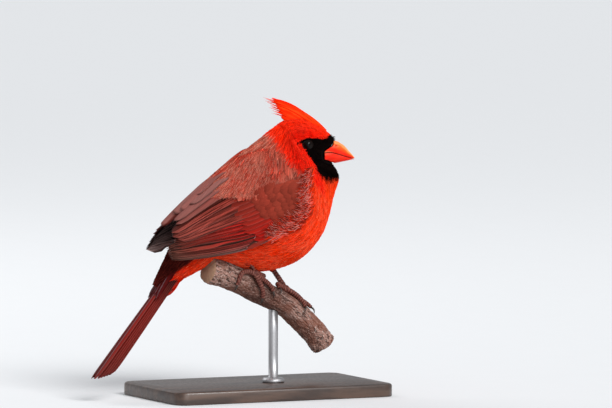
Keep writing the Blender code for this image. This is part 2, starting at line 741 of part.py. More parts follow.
# Feet: where each foot sits on the branch, and each toe's run over it as steps of share and angle
FEET = {
    "right": {"hub": (0.295, 48), "leg_top": (-15.0, -14.5, 88.0), "toes": (
        ((-0.04, 2), (-0.075, 16), (-0.088, 42), (-0.085, 66)),
        ((0.04, -14), (0.07, -28), (0.09, -46), (0.095, -64)),
        ((0.045, 3), (0.085, 6), (0.115, 14), (0.13, 26)),
        ((0.03, 18), (0.055, 34), (0.075, 52), (0.085, 68)),
    )},
    "left": {"hub": (0.55, -16), "leg_top": (9.0, 9.0, 86.0), "toes": (
        ((-0.04, 6), (-0.07, 20), (-0.08, 36), (-0.078, 54)),
        ((0.03, 14), (0.06, 32), (0.085, 54), (0.09, 74)),
        ((0.045, -2), (0.085, 4), (0.12, 14), (0.145, 30)),
        ((0.03, -18), (0.06, -36), (0.085, -56), (0.09, -76)),
    )},
}
TOE_RADII = (1.75, 1.55, 1.4, 1.25, 1.05)
HUB_RADIUS = 2.3
TARSUS_RADIUS = 1.35
CLAW_LENGTH = 4.2


def toe_path(foot, toe):
    """The centre line of one toe, from inside the foot's hub out along the branch."""
    share, angle = foot["hub"]
    rows = [(share, math.radians(angle), HUB_RADIUS)]
    for (more, turn), radius in zip(toe, TOE_RADII[1:]):
        rows.append((share + more, math.radians(angle + turn), radius))
    points = []
    for i in range(8):
        s, a, radius = through(rows, i * (len(rows) - 1) / 7)
        points.append(perch_point(s, a, radius + GAP))
    return np.array(points)


def make_foot(side_name):
    foot = FEET[side_name]
    share, angle = foot["hub"]
    hub = perch_point(share, math.radians(angle), HUB_RADIUS + GAP)
    edit = bmesh.new()
    bmesh.ops.create_icosphere(edit, subdivisions=2, radius=HUB_RADIUS)
    bmesh.ops.translate(edit, vec=Vector(hub), verts=edit.verts[:])
    body = finish("foot_" + side_name, edit, "foot")
    toes = []
    for toe in foot["toes"]:
        path = toe_path(foot, toe)
        radii = np.interp(np.linspace(0, 4, len(path)), range(5), TOE_RADII)
        toes.append(tube("toe", path, radii, 7, "foot"))
    boolean(body, toes, "UNION")
    return body


def make_claws(side_name):
    """Each claw leaves the end of its toe and curves down round the branch to a point."""
    foot = FEET[side_name]
    for number, toe in enumerate(foot["toes"]):
        path = toe_path(foot, toe)
        end = path[-1]
        ahead = path[-1] - path[-2]
        ahead /= np.linalg.norm(ahead)
        share = foot["hub"][0] + toe[-1][0]
        centre = perch_frame(min(1, share))[0]
        inward = centre - end
        inward -= ahead * inward.dot(ahead)
        inward /= np.linalg.norm(inward)
        start = end + ahead * GAP
        steps = [0, 0.25, 0.5, 0.75, 1.0]
        points = []
        for s in steps:
            points.append(start + ahead * CLAW_LENGTH * s + inward * (1.5 * s * s - 0.55 * math.sin(math.pi * s)))
        radii = [0.85, 0.75, 0.6, 0.42, 0.16]
        name = f"claw_{side_name}_{number + 1}"
        tube(name, points, radii, 6, "claw")


def make_tarsus(side_name, foot_object, torso, thigh):
    foot = FEET[side_name]
    share, angle = foot["hub"]
    hub = perch_point(share, math.radians(angle), HUB_RADIUS + GAP)
    top = np.array(foot["leg_top"])
    path = [hub + (top - hub) * s for s in (0.0, 0.25, 0.5, 0.75, 1.0)]
    radii = [1.5, TARSUS_RADIUS, TARSUS_RADIUS, 1.45, 1.6]
    tarsus = tube("tarsus_" + side_name, path, radii, 8, "tarsus")
    cut_clear(tarsus, foot_object, torso, thigh)
    return tarsus


def make_thigh(side_name, torso):
    """The tuft of feathers that covers the top of the leg below the belly."""
    foot = FEET[side_name]
    share, angle = foot["hub"]
    hub = perch_point(share, math.radians(angle), HUB_RADIUS + GAP)
    top = np.array(foot["leg_top"])
    path = [top + (hub - top) * s for s in (0.0, 0.2, 0.4, 0.52, 0.6)]
    radii = [6.0, 5.6, 4.6, 3.4, 2.0]
    thigh = tube("thigh_" + side_name, path, radii, 12, "thigh")
    cut_clear(thigh, torso)
    return thigh


def make_stand(perch):
    edit = bmesh.new()
    bmesh.ops.create_cube(edit, size=1.0)
    bmesh.ops.scale(edit, vec=BASE_SIZE, verts=edit.verts[:])
    bmesh.ops.translate(edit, vec=(0, 0, 0.5 * BASE_SIZE[2]), verts=edit.verts[:])
    upright = [e for e in edit.edges if abs(e.verts[0].co.z - e.verts[1].co.z) > 1]
    bmesh.ops.bevel(edit, geom=upright, offset=8, segments=4, profile=0.5, affect="EDGES")
    top = [e for e in edit.edges if min(v.co.z for v in e.verts) > BASE_SIZE[2] - 0.01]
    bmesh.ops.bevel(edit, geom=top, offset=1.5, segments=2, profile=0.5, affect="EDGES")
    finish("stand_base", edit, "stand")
    x, y = ROD_PLACE
    foot = BASE_SIZE[2] + GAP
    steps = ((0, COLLAR_RADIUS), (1.6, COLLAR_RADIUS), (2.6, COLLAR_RADIUS - 1), (3.0, ROD_RADIUS), (56, ROD_RADIUS))
    rings = []
    for height, radius in steps:
        turns = [2 * math.pi * k / 16 for k in range(16)]
        rings.append([np.array([x + radius * math.cos(a), y + radius * math.sin(a), foot + height]) for a in turns])
    rod = loft("stand_rod", rings, "stand")
    cut_clear(rod, perch)


def main():
    clear_scene()
    perch = make_perch()
    torso = make_torso(perch)
    neck = make_neck(torso)
    eyes = [make_eye("eye_right", -1), make_eye("eye_left", 1)]
    head = make_head(neck, eyes)
    make_bill_upper(head)
    make_bill_lower(head)
    make_wing("wing_right", -1, torso)
    make_wing("wing_left", 1, torso)
    make_tail(torso)
    for side_name in ("right", "left"):
        foot = make_foot(side_name)
        make_claws(side_name)
        thigh = make_thigh(side_name, torso)
        make_tarsus(side_name, foot, torso, thigh)
    make_stand(perch)


main()
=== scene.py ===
"""The looks of a male northern cardinal on a perch and stand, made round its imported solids.

The bird faces +X, its left side is +Y and its head is turned to its right. Places and sizes in the
tables and functions are in millimetres, and become metres when a mesh is made.
"""

import math

import bpy
import numpy as np
from bpy.props import FloatProperty, FloatVectorProperty, IntProperty, PointerProperty
from bpy.types import Operator, Panel, PropertyGroup
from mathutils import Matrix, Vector
from mathutils.kdtree import KDTree


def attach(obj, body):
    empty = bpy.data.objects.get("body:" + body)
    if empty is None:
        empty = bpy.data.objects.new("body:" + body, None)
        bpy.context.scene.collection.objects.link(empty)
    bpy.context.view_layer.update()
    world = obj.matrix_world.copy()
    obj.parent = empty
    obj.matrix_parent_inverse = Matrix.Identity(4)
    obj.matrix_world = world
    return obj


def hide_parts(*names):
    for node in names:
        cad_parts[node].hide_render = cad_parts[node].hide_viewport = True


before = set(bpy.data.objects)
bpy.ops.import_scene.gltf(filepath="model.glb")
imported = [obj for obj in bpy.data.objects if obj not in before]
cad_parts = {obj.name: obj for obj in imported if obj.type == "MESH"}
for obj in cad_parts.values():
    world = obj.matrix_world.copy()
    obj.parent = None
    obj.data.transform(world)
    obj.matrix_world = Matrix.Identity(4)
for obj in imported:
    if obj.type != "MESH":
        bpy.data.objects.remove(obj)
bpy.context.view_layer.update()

bl_info = {
    "name": "Northern Cardinal Model",
    "version": (1, 0, 0),
    "blender": (4, 5, 0),
    "location": "3D View > Sidebar > Cardinal",
    "description": "Builds the feathers, bare parts, perch and stage of a life-size northern cardinal",
    "category": "Object",
}

MM = 0.001
# The names and directions of the bird's two sides
SIDES = (("right", -1), ("left", 1))

# The body's stations, as in the solids: upper x and z, lower x and z, half-width, how far down it
# is widest, and how far its sides are swept back
TRUNK_STATIONS = (
    (-67, 81.5, -60, 72.8, 5.4, 0.50, 0),
    (-62, 90, -54.5, 74.5, 9.0, 0.50, 0),
    (-56, 101, -44, 79.5, 15, 0.50, 0),
    (-44, 120.5, -31, 84.5, 22.5, 0.50, 0),
    (-31, 136, -15, 79.6, 27.5, 0.52, 0),
    (-17, 147.5, 5, 78.8, 30.5, 0.55, 0),
    (-5, 156.5, 25, 84.5, 31, 0.56, 0),
    (4, 162.6, 39.5, 97.5, 28.8, 0.55, 0.5),
    (9.5, 166.2, 46.5, 111, 25.0, 0.52, 1.5),
    (13.2, 168.7, 50.0, 123.5, 21.0, 0.50, 3),
    (15.6, 170.2, 52.6, 131.5, 17.8, 0.50, 5),
)
NECK_TURNS = (0.08, 0.20, 0.38, 0.58)
HEAD_TURNS = (0.78, 0.93)
HEAD_STATIONS = (
    (-13.3, 16.0, 23.2, -19.6, 15.6, 0.50, 6.8),
    (-9.5, 17.9, 22.9, -17.2, 14.4, 0.50, 8.6),
    (-3.0, 18.6, 22.3, -15.2, 13.1, 0.51, 9.8),
    (5.0, 16.6, 21.6, -13.6, 11.9, 0.52, 10.5),
    (11.0, 13.6, 20.9, -12.4, 10.5, 0.54, 9.8),
    (15.8, 10.2, 20.2, -11.5, 8.8, 0.56, 8.6),
    (20.2, 6.2, 20.4, -10.5, 6.9, 0.56, 7.3),
)
HEAD_CENTRE = (30.5, 155.1)
HEAD_TURN = math.radians(-25)
TURN_PIVOT_X = 30.0

# The folded wing lies along an axis from the shoulder to the tip, as in the solids
WING_START = np.array([28.0, 0.0, 137.0])
WING_ALONG = np.array([-0.9155, 0.0, -0.4023])
WING_UP = np.array([-0.4023, 0.0, 0.9155])
WING_STEPS = (0, 20, 40, 60, 80, 100, 110)
WING_HALF_WIDTHS = (25.5, 31.2, 32.4, 30.4, 24.8, 18.4, 16.0)
WING_RIDGES = (34, 31, 25.3, 19.2, 13.8, 7.4, 2.4)
WING_MIDDLES = (-8, -9, -9, -8, -5.5, -2.5, -1.0)
WING_BELLY = 36.0
WING_LENGTH = 110.0

TAIL_ROOT = np.array([-59.0, 0.0, 81.5])
TAIL_PITCH = math.radians(51)
TAIL_LENGTH = 86.0
TAIL_PAIRS = 6
TAIL_FEATHER_WIDTH = 10.5
TAIL_STEP = 0.8
TAIL_ARCH = 0.12

CREST_HIGH = ((18.4, 8.3), (12.9, 13.5), (6.1, 19.4), (-1.6, 24.6), (-10.4, 29.0), (-19.6, 32.2))
CREST_LOW = ((-1.0, 14.5), (-3.6, 16.0), (-6.2, 17.0), (-8.6, 17.6), (-11.0, 18.2), (-13.4, 19.2))
CREST_SPREAD = 2.5

EYE_PLACE = (3.6, 2.7)
EYE_RADIUS = 3.8
EYE_OUT = 8.9
LID_TILT = (-0.17, -0.08)
LID_OPENING = 2.95
PUPIL_RADIUS = 1.35

# The black mask's edge on the side of the head, measured from the head's centre as x and z
MASK_EDGE = (
    (-0.6, 3.4), (0, 6.3), (7, 6.9), (12, 6.4), (15.8, 6.3), (18, 8.5), (19.2, 9), (21.3, 6.7), (25, 6),
    (25, -19), (21, -18.7), (15.6, -18.7), (12.6, -16.9), (8.9, -12.6), (5.9, -6), (2.9, -1.3), (1.1, 2.5),
)


def through(rows, at):
    """The rows' values at places counted in rows, on a smooth curve through all of them."""
    rows = np.asarray(rows, float)
    last = len(rows) - 1
    at = np.clip(np.atleast_1d(np.asarray(at, float)), 0, last)
    i = np.minimum(at.astype(int), last - 1)
    f = (at - i)[:, None]
    a, b = rows[i], rows[i + 1]
    slope_a = np.where((i == 0)[:, None], b - a, (b - rows[np.maximum(i - 1, 0)]) / 2)
    slope_b = np.where((i == last - 1)[:, None], b - a, (rows[np.minimum(i + 2, last)] - a) / 2)
    f2, f3 = f * f, f * f * f
    from_a = (2 * f3 - 3 * f2 + 1) * a + (f3 - 2 * f2 + f) * slope_a
    return from_a + (3 * f2 - 2 * f3) * b + (f3 - f2) * slope_b


def lookup(steps, values, at):
    """Smooth values at distances, from values given at a few distances."""
    steps = np.asarray(steps, float)
    at = np.atleast_1d(np.asarray(at, float))
    i = np.clip(np.searchsorted(steps, at) - 1, 0, len(steps) - 2)
    f = np.clip((at - steps[i]) / (steps[i + 1] - steps[i]), 0, 1)
    return through(np.reshape(np.asarray(values, float), (-1, 1)), i + f)[:, 0]


def eased(share):
    share = np.clip(share, 0, 1)
    return share * share * (3 - 2 * share)


def unit(vectors):
    return vectors / np.maximum(np.linalg.norm(vectors, axis=-1, keepdims=True), 1e-9)


def turned(points, share=1.0):
    """Points of the straight bird, turned about the neck by a share of the head's turn."""
    points = np.atleast_2d(np.asarray(points, float))
    angle = HEAD_TURN * np.asarray(share)
    dx, y = points[:, 0] - TURN_PIVOT_X, points[:, 1]
    return np.stack([
        TURN_PIVOT_X + dx * np.cos(angle) - y * np.sin(angle),
        dx * np.sin(angle) + y * np.cos(angle),
        points[:, 2],
    ], axis=1)


def head_place(points):
    """The reverse of head_points: places in the turned head, measured from its centre."""
    dx, y = points[:, 0] - TURN_PIVOT_X, points[:, 1]
    c, s = math.cos(HEAD_TURN), math.sin(HEAD_TURN)
    straight = TURN_PIVOT_X + dx * c + y * s
    return np.stack([straight - HEAD_CENTRE[0], -dx * s + y * c, points[:, 2] - HEAD_CENTRE[1]], axis=1)


def head_points(x, y, z):
    """Points measured from the head's centre, in the turned head."""
    x, y, z = np.broadcast_arrays(np.atleast_1d(x), y, z)
    return turned(np.stack([HEAD_CENTRE[0] + x, y, HEAD_CENTRE[1] + z], axis=1).astype(float))


def body_stations():
    stations = list(TRUNK_STATIONS)
    hx, hz = HEAD_CENTRE
    for ux, uz, lx, lz, *sizes in HEAD_STATIONS:
        stations.append((ux + hx, uz + hz, lx + hx, lz + hz, *sizes))
    turns = np.ones(len(stations))
    first = len(TRUNK_STATIONS) - len(NECK_TURNS)
    turns[:first] = 0
    turns[first:first + len(NECK_TURNS) + len(HEAD_TURNS)] = NECK_TURNS + HEAD_TURNS
    return np.column_stack([np.array(stations, float), turns])


BODY = body_stations()
FACE_AT = len(BODY) - 1.0


def body_surface(at, angle):
    """Points of the body's surface: at counts stations, and angle is 0 on the back and 180 degrees below."""
    at = np.asarray(at, float)
    beyond = np.minimum(at, 0.0)
    points = body_inside(np.maximum(at, 0.0), angle)
    step = 0.1
    slope = (body_inside(np.full_like(at, step), angle) - body_inside(np.zeros_like(at), angle)) / step
    return points + slope * beyond[:, None]


def body_inside(at, angle):
    ux, uz, lx, lz, width, low, sweep, turn = through(BODY, at).T
    down = (0.5 - 0.5 * np.cos(angle)) ** (np.log(low) / math.log(0.5))
    swept_angle = np.degrees(np.arccos(np.clip(np.cos(angle), -1, 1)))
    back = sweep * eased((swept_angle - 40) / 45) * eased((175 - swept_angle) / 65)
    points = np.stack([ux + (lx - ux) * down - back, width * np.sin(angle), uz + (lz - uz) * down], axis=1)
    return turned(points, turn)


def lifted(surface, a, b, out, steps=(0.03, 0.01)):
    """Points at a height over a surface given by two coordinates, with its outward normals."""
    points = surface(a, b)
    along = surface(a + steps[0], b) - surface(a - steps[0], b)
    across = surface(a, b + steps[1]) - surface(a, b - steps[1])
    normals = unit(np.cross(along, across))
    return points + normals * np.asarray(out)[..., None], normals


def body_over(at, angle, out=0.0):
    """Points over the body at a height, and the normals there."""
    at, angle, out = np.broadcast_arrays(np.atleast_1d(np.asarray(at, float)), angle, out)
    top = np.clip(at, -3, FACE_AT - 0.04)
    return lifted(body_surface, top, angle.astype(float), out)


def wing_surface(along, angle, side):
    """Points on the folded wing: a distance from the shoulder and an angle from the ridge."""
    along = np.asarray(along, float)
    tables = (WING_HALF_WIDTHS, WING_RIDGES, WING_MIDDLES)
    half, ridge, middle = (lookup(WING_STEPS, table, along) for table in tables)
    reach = np.where(angle < math.pi / 2, ridge - middle, WING_BELLY)
    points = WING_START + WING_ALONG * along[:, None] + WING_UP * (middle + reach * np.cos(angle))[:, None]
    points[:, 1] = side * half * np.sin(angle)
    return points


def wing_over(along, angle, out, side):
    along, angle, out = np.broadcast_arrays(np.atleast_1d(np.asarray(along, float)), angle, out)
    def surface(s, g):
        return wing_surface(s, g, side)

    points, normals = lifted(surface, along, angle.astype(float), out, (0.5, 0.01))
    outward = normals[:, 1] * side + 0.3 * normals @ WING_UP
    flip = np.where(outward < 0, -1.0, 1.0)[:, None]
    return points + normals * (flip - 1) * np.asarray(out)[:, None], normals * flip


def wing_angle(along, height):
    """The angle at which the wing's surface lies at a height over its axis."""
    ridge, middle = (lookup(WING_STEPS, table, along) for table in (WING_RIDGES, WING_MIDDLES))
    reach = np.where(height > middle, ridge - middle, WING_BELLY)
    return np.arccos(np.clip((height - middle) / reach, -1, 1))


def tail_points(along, y, up):
    """Points measured from the tail's root: along it, across it and over its upper face."""
    along, y, up = np.broadcast_arrays(np.atleast_1d(np.asarray(along, float)), y, up)
    ahead = np.array([-math.cos(TAIL_PITCH), 0, -math.sin(TAIL_PITCH)])
    over = np.array([-math.sin(TAIL_PITCH), 0, math.cos(TAIL_PITCH)])
    points = TAIL_ROOT + ahead * along[:, None] + over * up[:, None]
    points[:, 1] += y
    return points


def colour(name, description, default):
    return FloatVectorProperty(
        name=name, description=description, subtype="COLOR", size=3, min=0.0, max=1.0, default=default,
    )


def length(name, description, default):
    return FloatProperty(name=name, description=description, unit="LENGTH", min=0.0, default=default)


class CardinalPlumage(PropertyGroup):
    """Colours and sizes of the small body feathers."""

    crown: colour("Crown", "Red of the crown and crest", (0.90, 0.016, 0.001))
    cheek: colour("Cheek", "Red of the cheeks", (0.84, 0.008, 0.001))
    mask: colour("Mask", "Black round the bill and eyes", (0.0035, 0.0016, 0.0014))
    nape: colour("Nape", "Rosy red at the back of the neck", (0.62, 0.070, 0.034))
    mantle: colour("Mantle", "Dull rose-brown of the back", (0.44, 0.078, 0.048))
    mantle_red: colour("Mantle, red", "Redder feathers of the back", (0.46, 0.034, 0.018))
    mantle_streak: colour("Mantle streaks", "Gray-pink tips of the back's feathers", (0.55, 0.23, 0.165))
    mantle_dark: colour("Mantle shade", "Darker red-brown between the streaks", (0.17, 0.020, 0.013))
    breast: colour("Breast", "Orange-red of the breast and belly", (0.88, 0.036, 0.002))
    breast_pale: colour("Breast tips", "Paler tips of the breast's feathers", (0.95, 0.13, 0.06))
    # Deeper red for random breast tips; plumage_colour also mixes it into the side under the wing as painted
    # shade
    flank: colour("Flank", "Darker red under the wing", (0.78, 0.016, 0.002))
    fringe: colour("Wing bend fringe", "Pinkish white tips round the bend of the wing", (0.92, 0.60, 0.52))
    # Painted shade: the rump is drawn dark maroon for the shade that the folded wings cast on it
    rump: colour("Rump", "Dark maroon above the tail", (0.055, 0.006, 0.005))
    undertail: colour("Undertail", "Red of the feathers under the tail", (0.74, 0.022, 0.003))
    down: colour("Down", "Gray of the feathers' hidden bases", (0.085, 0.022, 0.016))
    coat_depth: length("Coat depth", "Depth of the skin under the feathers' outer face", 0.0014)
    face_depth: length("Face coat depth", "Depth of the skin under the face's short feathers", 0.0008)
    skin_voxel: length("Skin grain", "Edge length of the skin's mesh", 0.0010)
    feathers: IntProperty(
        name="Contour feathers", description="How many feathers cover the body", default=4200, min=500)
    strands: IntProperty(
        name="Barb strands", description="How many fine strands lie over them", default=52000, min=500)


class CardinalWings(PropertyGroup):
    """Colours and sizes of the wings, tail and crest."""

    lesser: colour("Lesser coverts", "Rose-brown of the small covert patch", (0.19, 0.026, 0.015))
    greater: colour("Greater coverts", "Red of the great coverts", (0.22, 0.020, 0.012))
    panel: colour("Feather panels", "Bright red on the outer webs", (0.31, 0.002, 0.001))
    secondary: colour("Secondaries", "Dark brown-red inner webs", (0.11, 0.012, 0.008))
    tertial: colour("Tertials", "Rose-brown of the innermost flight feathers", (0.20, 0.028, 0.018))
    primary: colour("Primaries", "Gray-brown of the wing tips", (0.085, 0.032, 0.022))
    edge: colour("Feather edges", "Pale gray-pink edges", (0.30, 0.17, 0.15))
    # Partly painted shade: the dark upper webs also stand for the shadow where each feather tucks under the
    # next
    dark: colour("Dark webs", "Dark inner webs", (0.035, 0.014, 0.011))
    tail: colour("Tail", "Dark red of the tail", (0.21, 0.014, 0.010))
    # Painted shade: the maroon where the tail leaves the body stands for the wings' shade over it
    tail_base: colour("Tail base", "Maroon where the tail leaves the body", (0.045, 0.003, 0.003))
    tail_tip: colour("Tail tip", "Duller red at the tail's end", (0.17, 0.022, 0.018))
    lobe: colour("Lobes", "Pinkish brown ends of the inner feathers", (0.27, 0.100, 0.085))
    # Painted light: paler than the undersides' own colour, so that they stay light in the shade between the
    # wings
    inner: colour("Inner webs", "Gray-brown hidden halves of the flight feathers", (0.46, 0.31, 0.29))
    crest_light: colour("Crest light", "Orange-red of the crest's sunlit strands", (0.95, 0.055, 0.006))
    vane: length("Vane thickness", "Thickness of a flight feather", 0.00032)
    crest_strands: IntProperty(name="Crest strands", description="Leaves in the crest", default=340, min=20)


class CardinalBareParts(PropertyGroup):
    """Colours of the bill, eyes, legs and claws."""

    bill: colour("Bill", "Orange-red of the bill's sides", (0.80, 0.012, 0.001))
    # Painted highlight: the paler orange along the ridge paints the light on the bill's top
    bill_ridge: colour("Bill ridge", "Paler orange along the ridge", (0.97, 0.31, 0.10))
    bill_line: colour("Gape", "Dark line of the mouth", (0.05, 0.006, 0.004))
    iris: colour("Iris", "Dark brown iris", (0.006, 0.003, 0.002))
    leg: colour("Legs", "Reddish brown scaly skin", (0.080, 0.015, 0.010))
    scute: colour("Scute edges", "Pale edges of the scutes", (0.26, 0.095, 0.070))
    claw: colour("Claws", "Dark horn", (0.035, 0.024, 0.020))
    lid: colour("Lids", "Dark skin round the eye", (0.004, 0.003, 0.003))


class CardinalStand(PropertyGroup):
    """Colours of the perch, the stand and the stage."""

    bark: colour("Bark", "Gray-pink bark", (0.36, 0.195, 0.155))
    bark_dark: colour("Bark grooves", "Dark brown grooves", (0.055, 0.026, 0.018))
    bark_pale: colour("Bark scales", "Pale weathered scales", (0.56, 0.44, 0.39))
    cut_wood: colour("Cut wood", "Weathered wood at the cut ends", (0.33, 0.19, 0.12))
    wood: colour("Base", "Dark satin wood", (0.030, 0.016, 0.011))
    steel: colour("Rod", "Satin steel", (0.42, 0.42, 0.43))
    floor: colour("Floor", "Plain pale floor", (0.80, 0.81, 0.82))
    lamp_power: FloatProperty(
        name="Key light", description="Strength of the soft sunlight", min=0.0, default=2.7)


class CardinalSettings(PropertyGroup):
    """Everything that a user may change."""

    plumage: PointerProperty(type=CardinalPlumage)
    wings: PointerProperty(type=CardinalWings)
    bare: PointerProperty(type=CardinalBareParts)
    stand: PointerProperty(type=CardinalStand)


def settings():
    return bpy.context.scene.cardinal


def rgb(value):
    return np.array(value[:3], float)


def mixed(base, other, share):
    """Blends rows of colours with other rows or one colour, by a share for each row."""
    return base + (np.array(other, float) - base) * np.clip(share, 0, 1)[:, None]


def blend(base, other, share):
    """One colour between two others."""
    return mixed(rgb(base)[None], other, np.array([share]))[0]


def rows_of(tone, count):
    return np.tile(rgb(tone), (count, 1))


def waves(points, scale, seed, octaves=3):
    """Smooth noise between -1 and 1, from sums of sines in random directions."""
    rng = np.random.default_rng(seed)
    total = np.zeros(len(points))
    for octave in range(octaves):
        part = np.zeros(len(points))
        for _ in range(5):
            direction = rng.normal(size=3)
            direction *= 2 * math.pi / (scale * 0.5 ** octave * np.linalg.norm(direction))
            part += np.sin(points @ direction + rng.random() * 2 * math.pi)
        total += part / 5 * 0.6 ** octave
    return total


def inside_polygon(x, z, corners):
    """Whether each place lies inside a closed outline."""
    inside = np.zeros(len(x), bool)
    for (x1, z1), (x2, z2) in zip(corners, corners[1:] + corners[:1]):
        crosses = (z1 > z) != (z2 > z)
        rise = (z2 - z1) if z2 != z1 else 1e-9
        inside ^= crosses & (x < x1 + (z - z1) * (x2 - x1) / rise)
    return inside


# The bright hood's rear edge as angles and stations, and the breast's upper edge as stations and angles
HOOD_ANGLES = (0, 12, 34, 52, 74, 92, 116, 180)
HOOD_AT = (7.7, 7.6, 7.2, 7.0, 7.5, 8.0, 8.4, 8.4)
BREAST_AT = (0, 4.2, 4.9, 5.8, 6.4, 6.7, 7.2, 8.0, 9.0)
BREAST_ANGLES = (94, 97, 95, 91, 86, 80, 76, 82, 90)
MASK_FROM = 8.8


def mask_share(points):
    """1 where the face is black, with a crisp but feathered edge."""
    x, _, z = head_place(points).T
    x = x + 0.25 * np.sin(z * 5.1) + 0.2 * np.sin(z * 9.7 + 1)
    front = inside_polygon(x, z, MASK_EDGE)
    streak = (x > -3.4) & (x < -0.2) & (np.abs(z - 4.4 - 0.12 * x) < 0.45)
    return (front | streak).astype(float)


def plumage_colour(at, angle, points):
    """The colour of the coat and the skin at places on the body."""
    plumage = settings().plumage
    count = len(points)
    a = np.degrees(np.arccos(np.clip(np.cos(angle), -1, 1)))
    large = waves(points, 16.0, 3)
    fine = waves(points, 4.0, 5)
    hood = eased((at - np.interp(a, HOOD_ANGLES, HOOD_AT) + 0.12 * large) / 0.5 + 0.5)
    low = eased((a - np.interp(at, BREAST_AT, BREAST_ANGLES) + 2.5 * large) / 9 + 0.5)
    back = rows_of(plumage.mantle, count)
    back = mixed(back, plumage.nape, eased((at - 5.4) / 1.8) * eased((75 - a) / 45))
    back = mixed(back, plumage.mantle_streak, 0.12 + 0.16 * fine)
    # Painted shade: the back turns dark maroon towards the tail, where the wings shade it
    back = mixed(back, plumage.rump, eased((3.4 - at) / 1.6))
    under = mixed(rows_of(plumage.breast, count), plumage.breast_pale, 0.10 + 0.16 * large)
    # Painted shade: the side just under the wing is mixed a little towards the darker flank red
    wing_shade_share = eased((118 - a) / 20) * eased((7.4 - at) / 0.8)
    under = mixed(under, plumage.flank, 0.3 * wing_shade_share)
    under = mixed(under, plumage.undertail, eased((2.6 - at) / 1.6))
    head = mixed(rows_of(plumage.cheek, count), plumage.crown, eased((62 - a) / 30))
    head = mixed(head, plumage.breast_pale, 0.05 + 0.06 * large)
    throat = eased((a - 118) / 20) * eased((13 - at) / 2)
    head = mixed(head, under, throat)
    tone = mixed(mixed(back, under, low), head, hood)
    return mixed(tone, plumage.mask, mask_share(points) * (at > MASK_FROM))


def deselect():
    if bpy.context.mode != "OBJECT":
        bpy.ops.object.mode_set(mode="OBJECT")
    bpy.ops.object.select_all(action="DESELECT")


def activate(obj):
    deselect()
    obj.select_set(True)
    bpy.context.view_layer.objects.active = obj


def new_object(name, data):
    obj = bpy.data.objects.new(name, data)
    bpy.context.scene.collection.objects.link(obj)
    return obj


def edit_whole(obj, operator, **values):
    """Runs one mesh operator on all of a piece."""
    activate(obj)
    bpy.ops.object.mode_set(mode="EDIT")
    bpy.ops.mesh.select_all(action="SELECT")
    operator(**values)
    bpy.ops.object.mode_set(mode="OBJECT")


def mesh_object(name, points, loops, sizes):
    """A mesh object in metres, from millimetre points and faces given as flat loops and their sizes."""
    mesh = bpy.data.meshes.new(name)
    mesh.vertices.add(len(points))
    mesh.vertices.foreach_set("co", (np.asarray(points) * MM).astype(np.float32).ravel())
    mesh.loops.add(len(loops))
    mesh.loops.foreach_set("vertex_index", np.asarray(loops, np.int32))
    starts = np.concatenate([[0], np.cumsum(sizes)[:-1]])
    mesh.polygons.add(len(starts))
    mesh.polygons.foreach_set("loop_start", starts.astype(np.int32))
    mesh.update(calc_edges=True)
    return new_object(name, mesh)


def ring_quads(ring, after, sides):
    """Faces between rings of points, from the numbers of each ring's first point and the next one's."""
    k = np.arange(sides)
    return np.stack([ring + k, ring + (k + 1) % sides, after + (k + 1) % sides, after + k], axis=-1)


def store(obj, name, kind, values):
    """Writes one value for each point of a mesh."""
    attribute = obj.data.attributes.new(name, kind, "POINT")
    values = np.asarray(values, np.float32)
    if kind == "FLOAT_COLOR":
        values = np.concatenate([values, np.ones((len(values), 1), np.float32)], axis=1)
    field = {"FLOAT_COLOR": "color", "FLOAT_VECTOR": "vector"}.get(kind, "value")
    attribute.data.foreach_set(field, values.ravel())


def point_map(obj, name, values):
    """A UV map from one place for each point."""
    layer = obj.data.uv_layers.new(name=name)
    index = np.zeros(len(obj.data.loops), np.int32)
    obj.data.loops.foreach_get("vertex_index", index)
    layer.data.foreach_set("uv", np.asarray(values, np.float32)[index].ravel())


def smooth_faces(obj, degrees=50):
    activate(obj)
    bpy.ops.object.shade_smooth_by_angle(angle=math.radians(degrees))


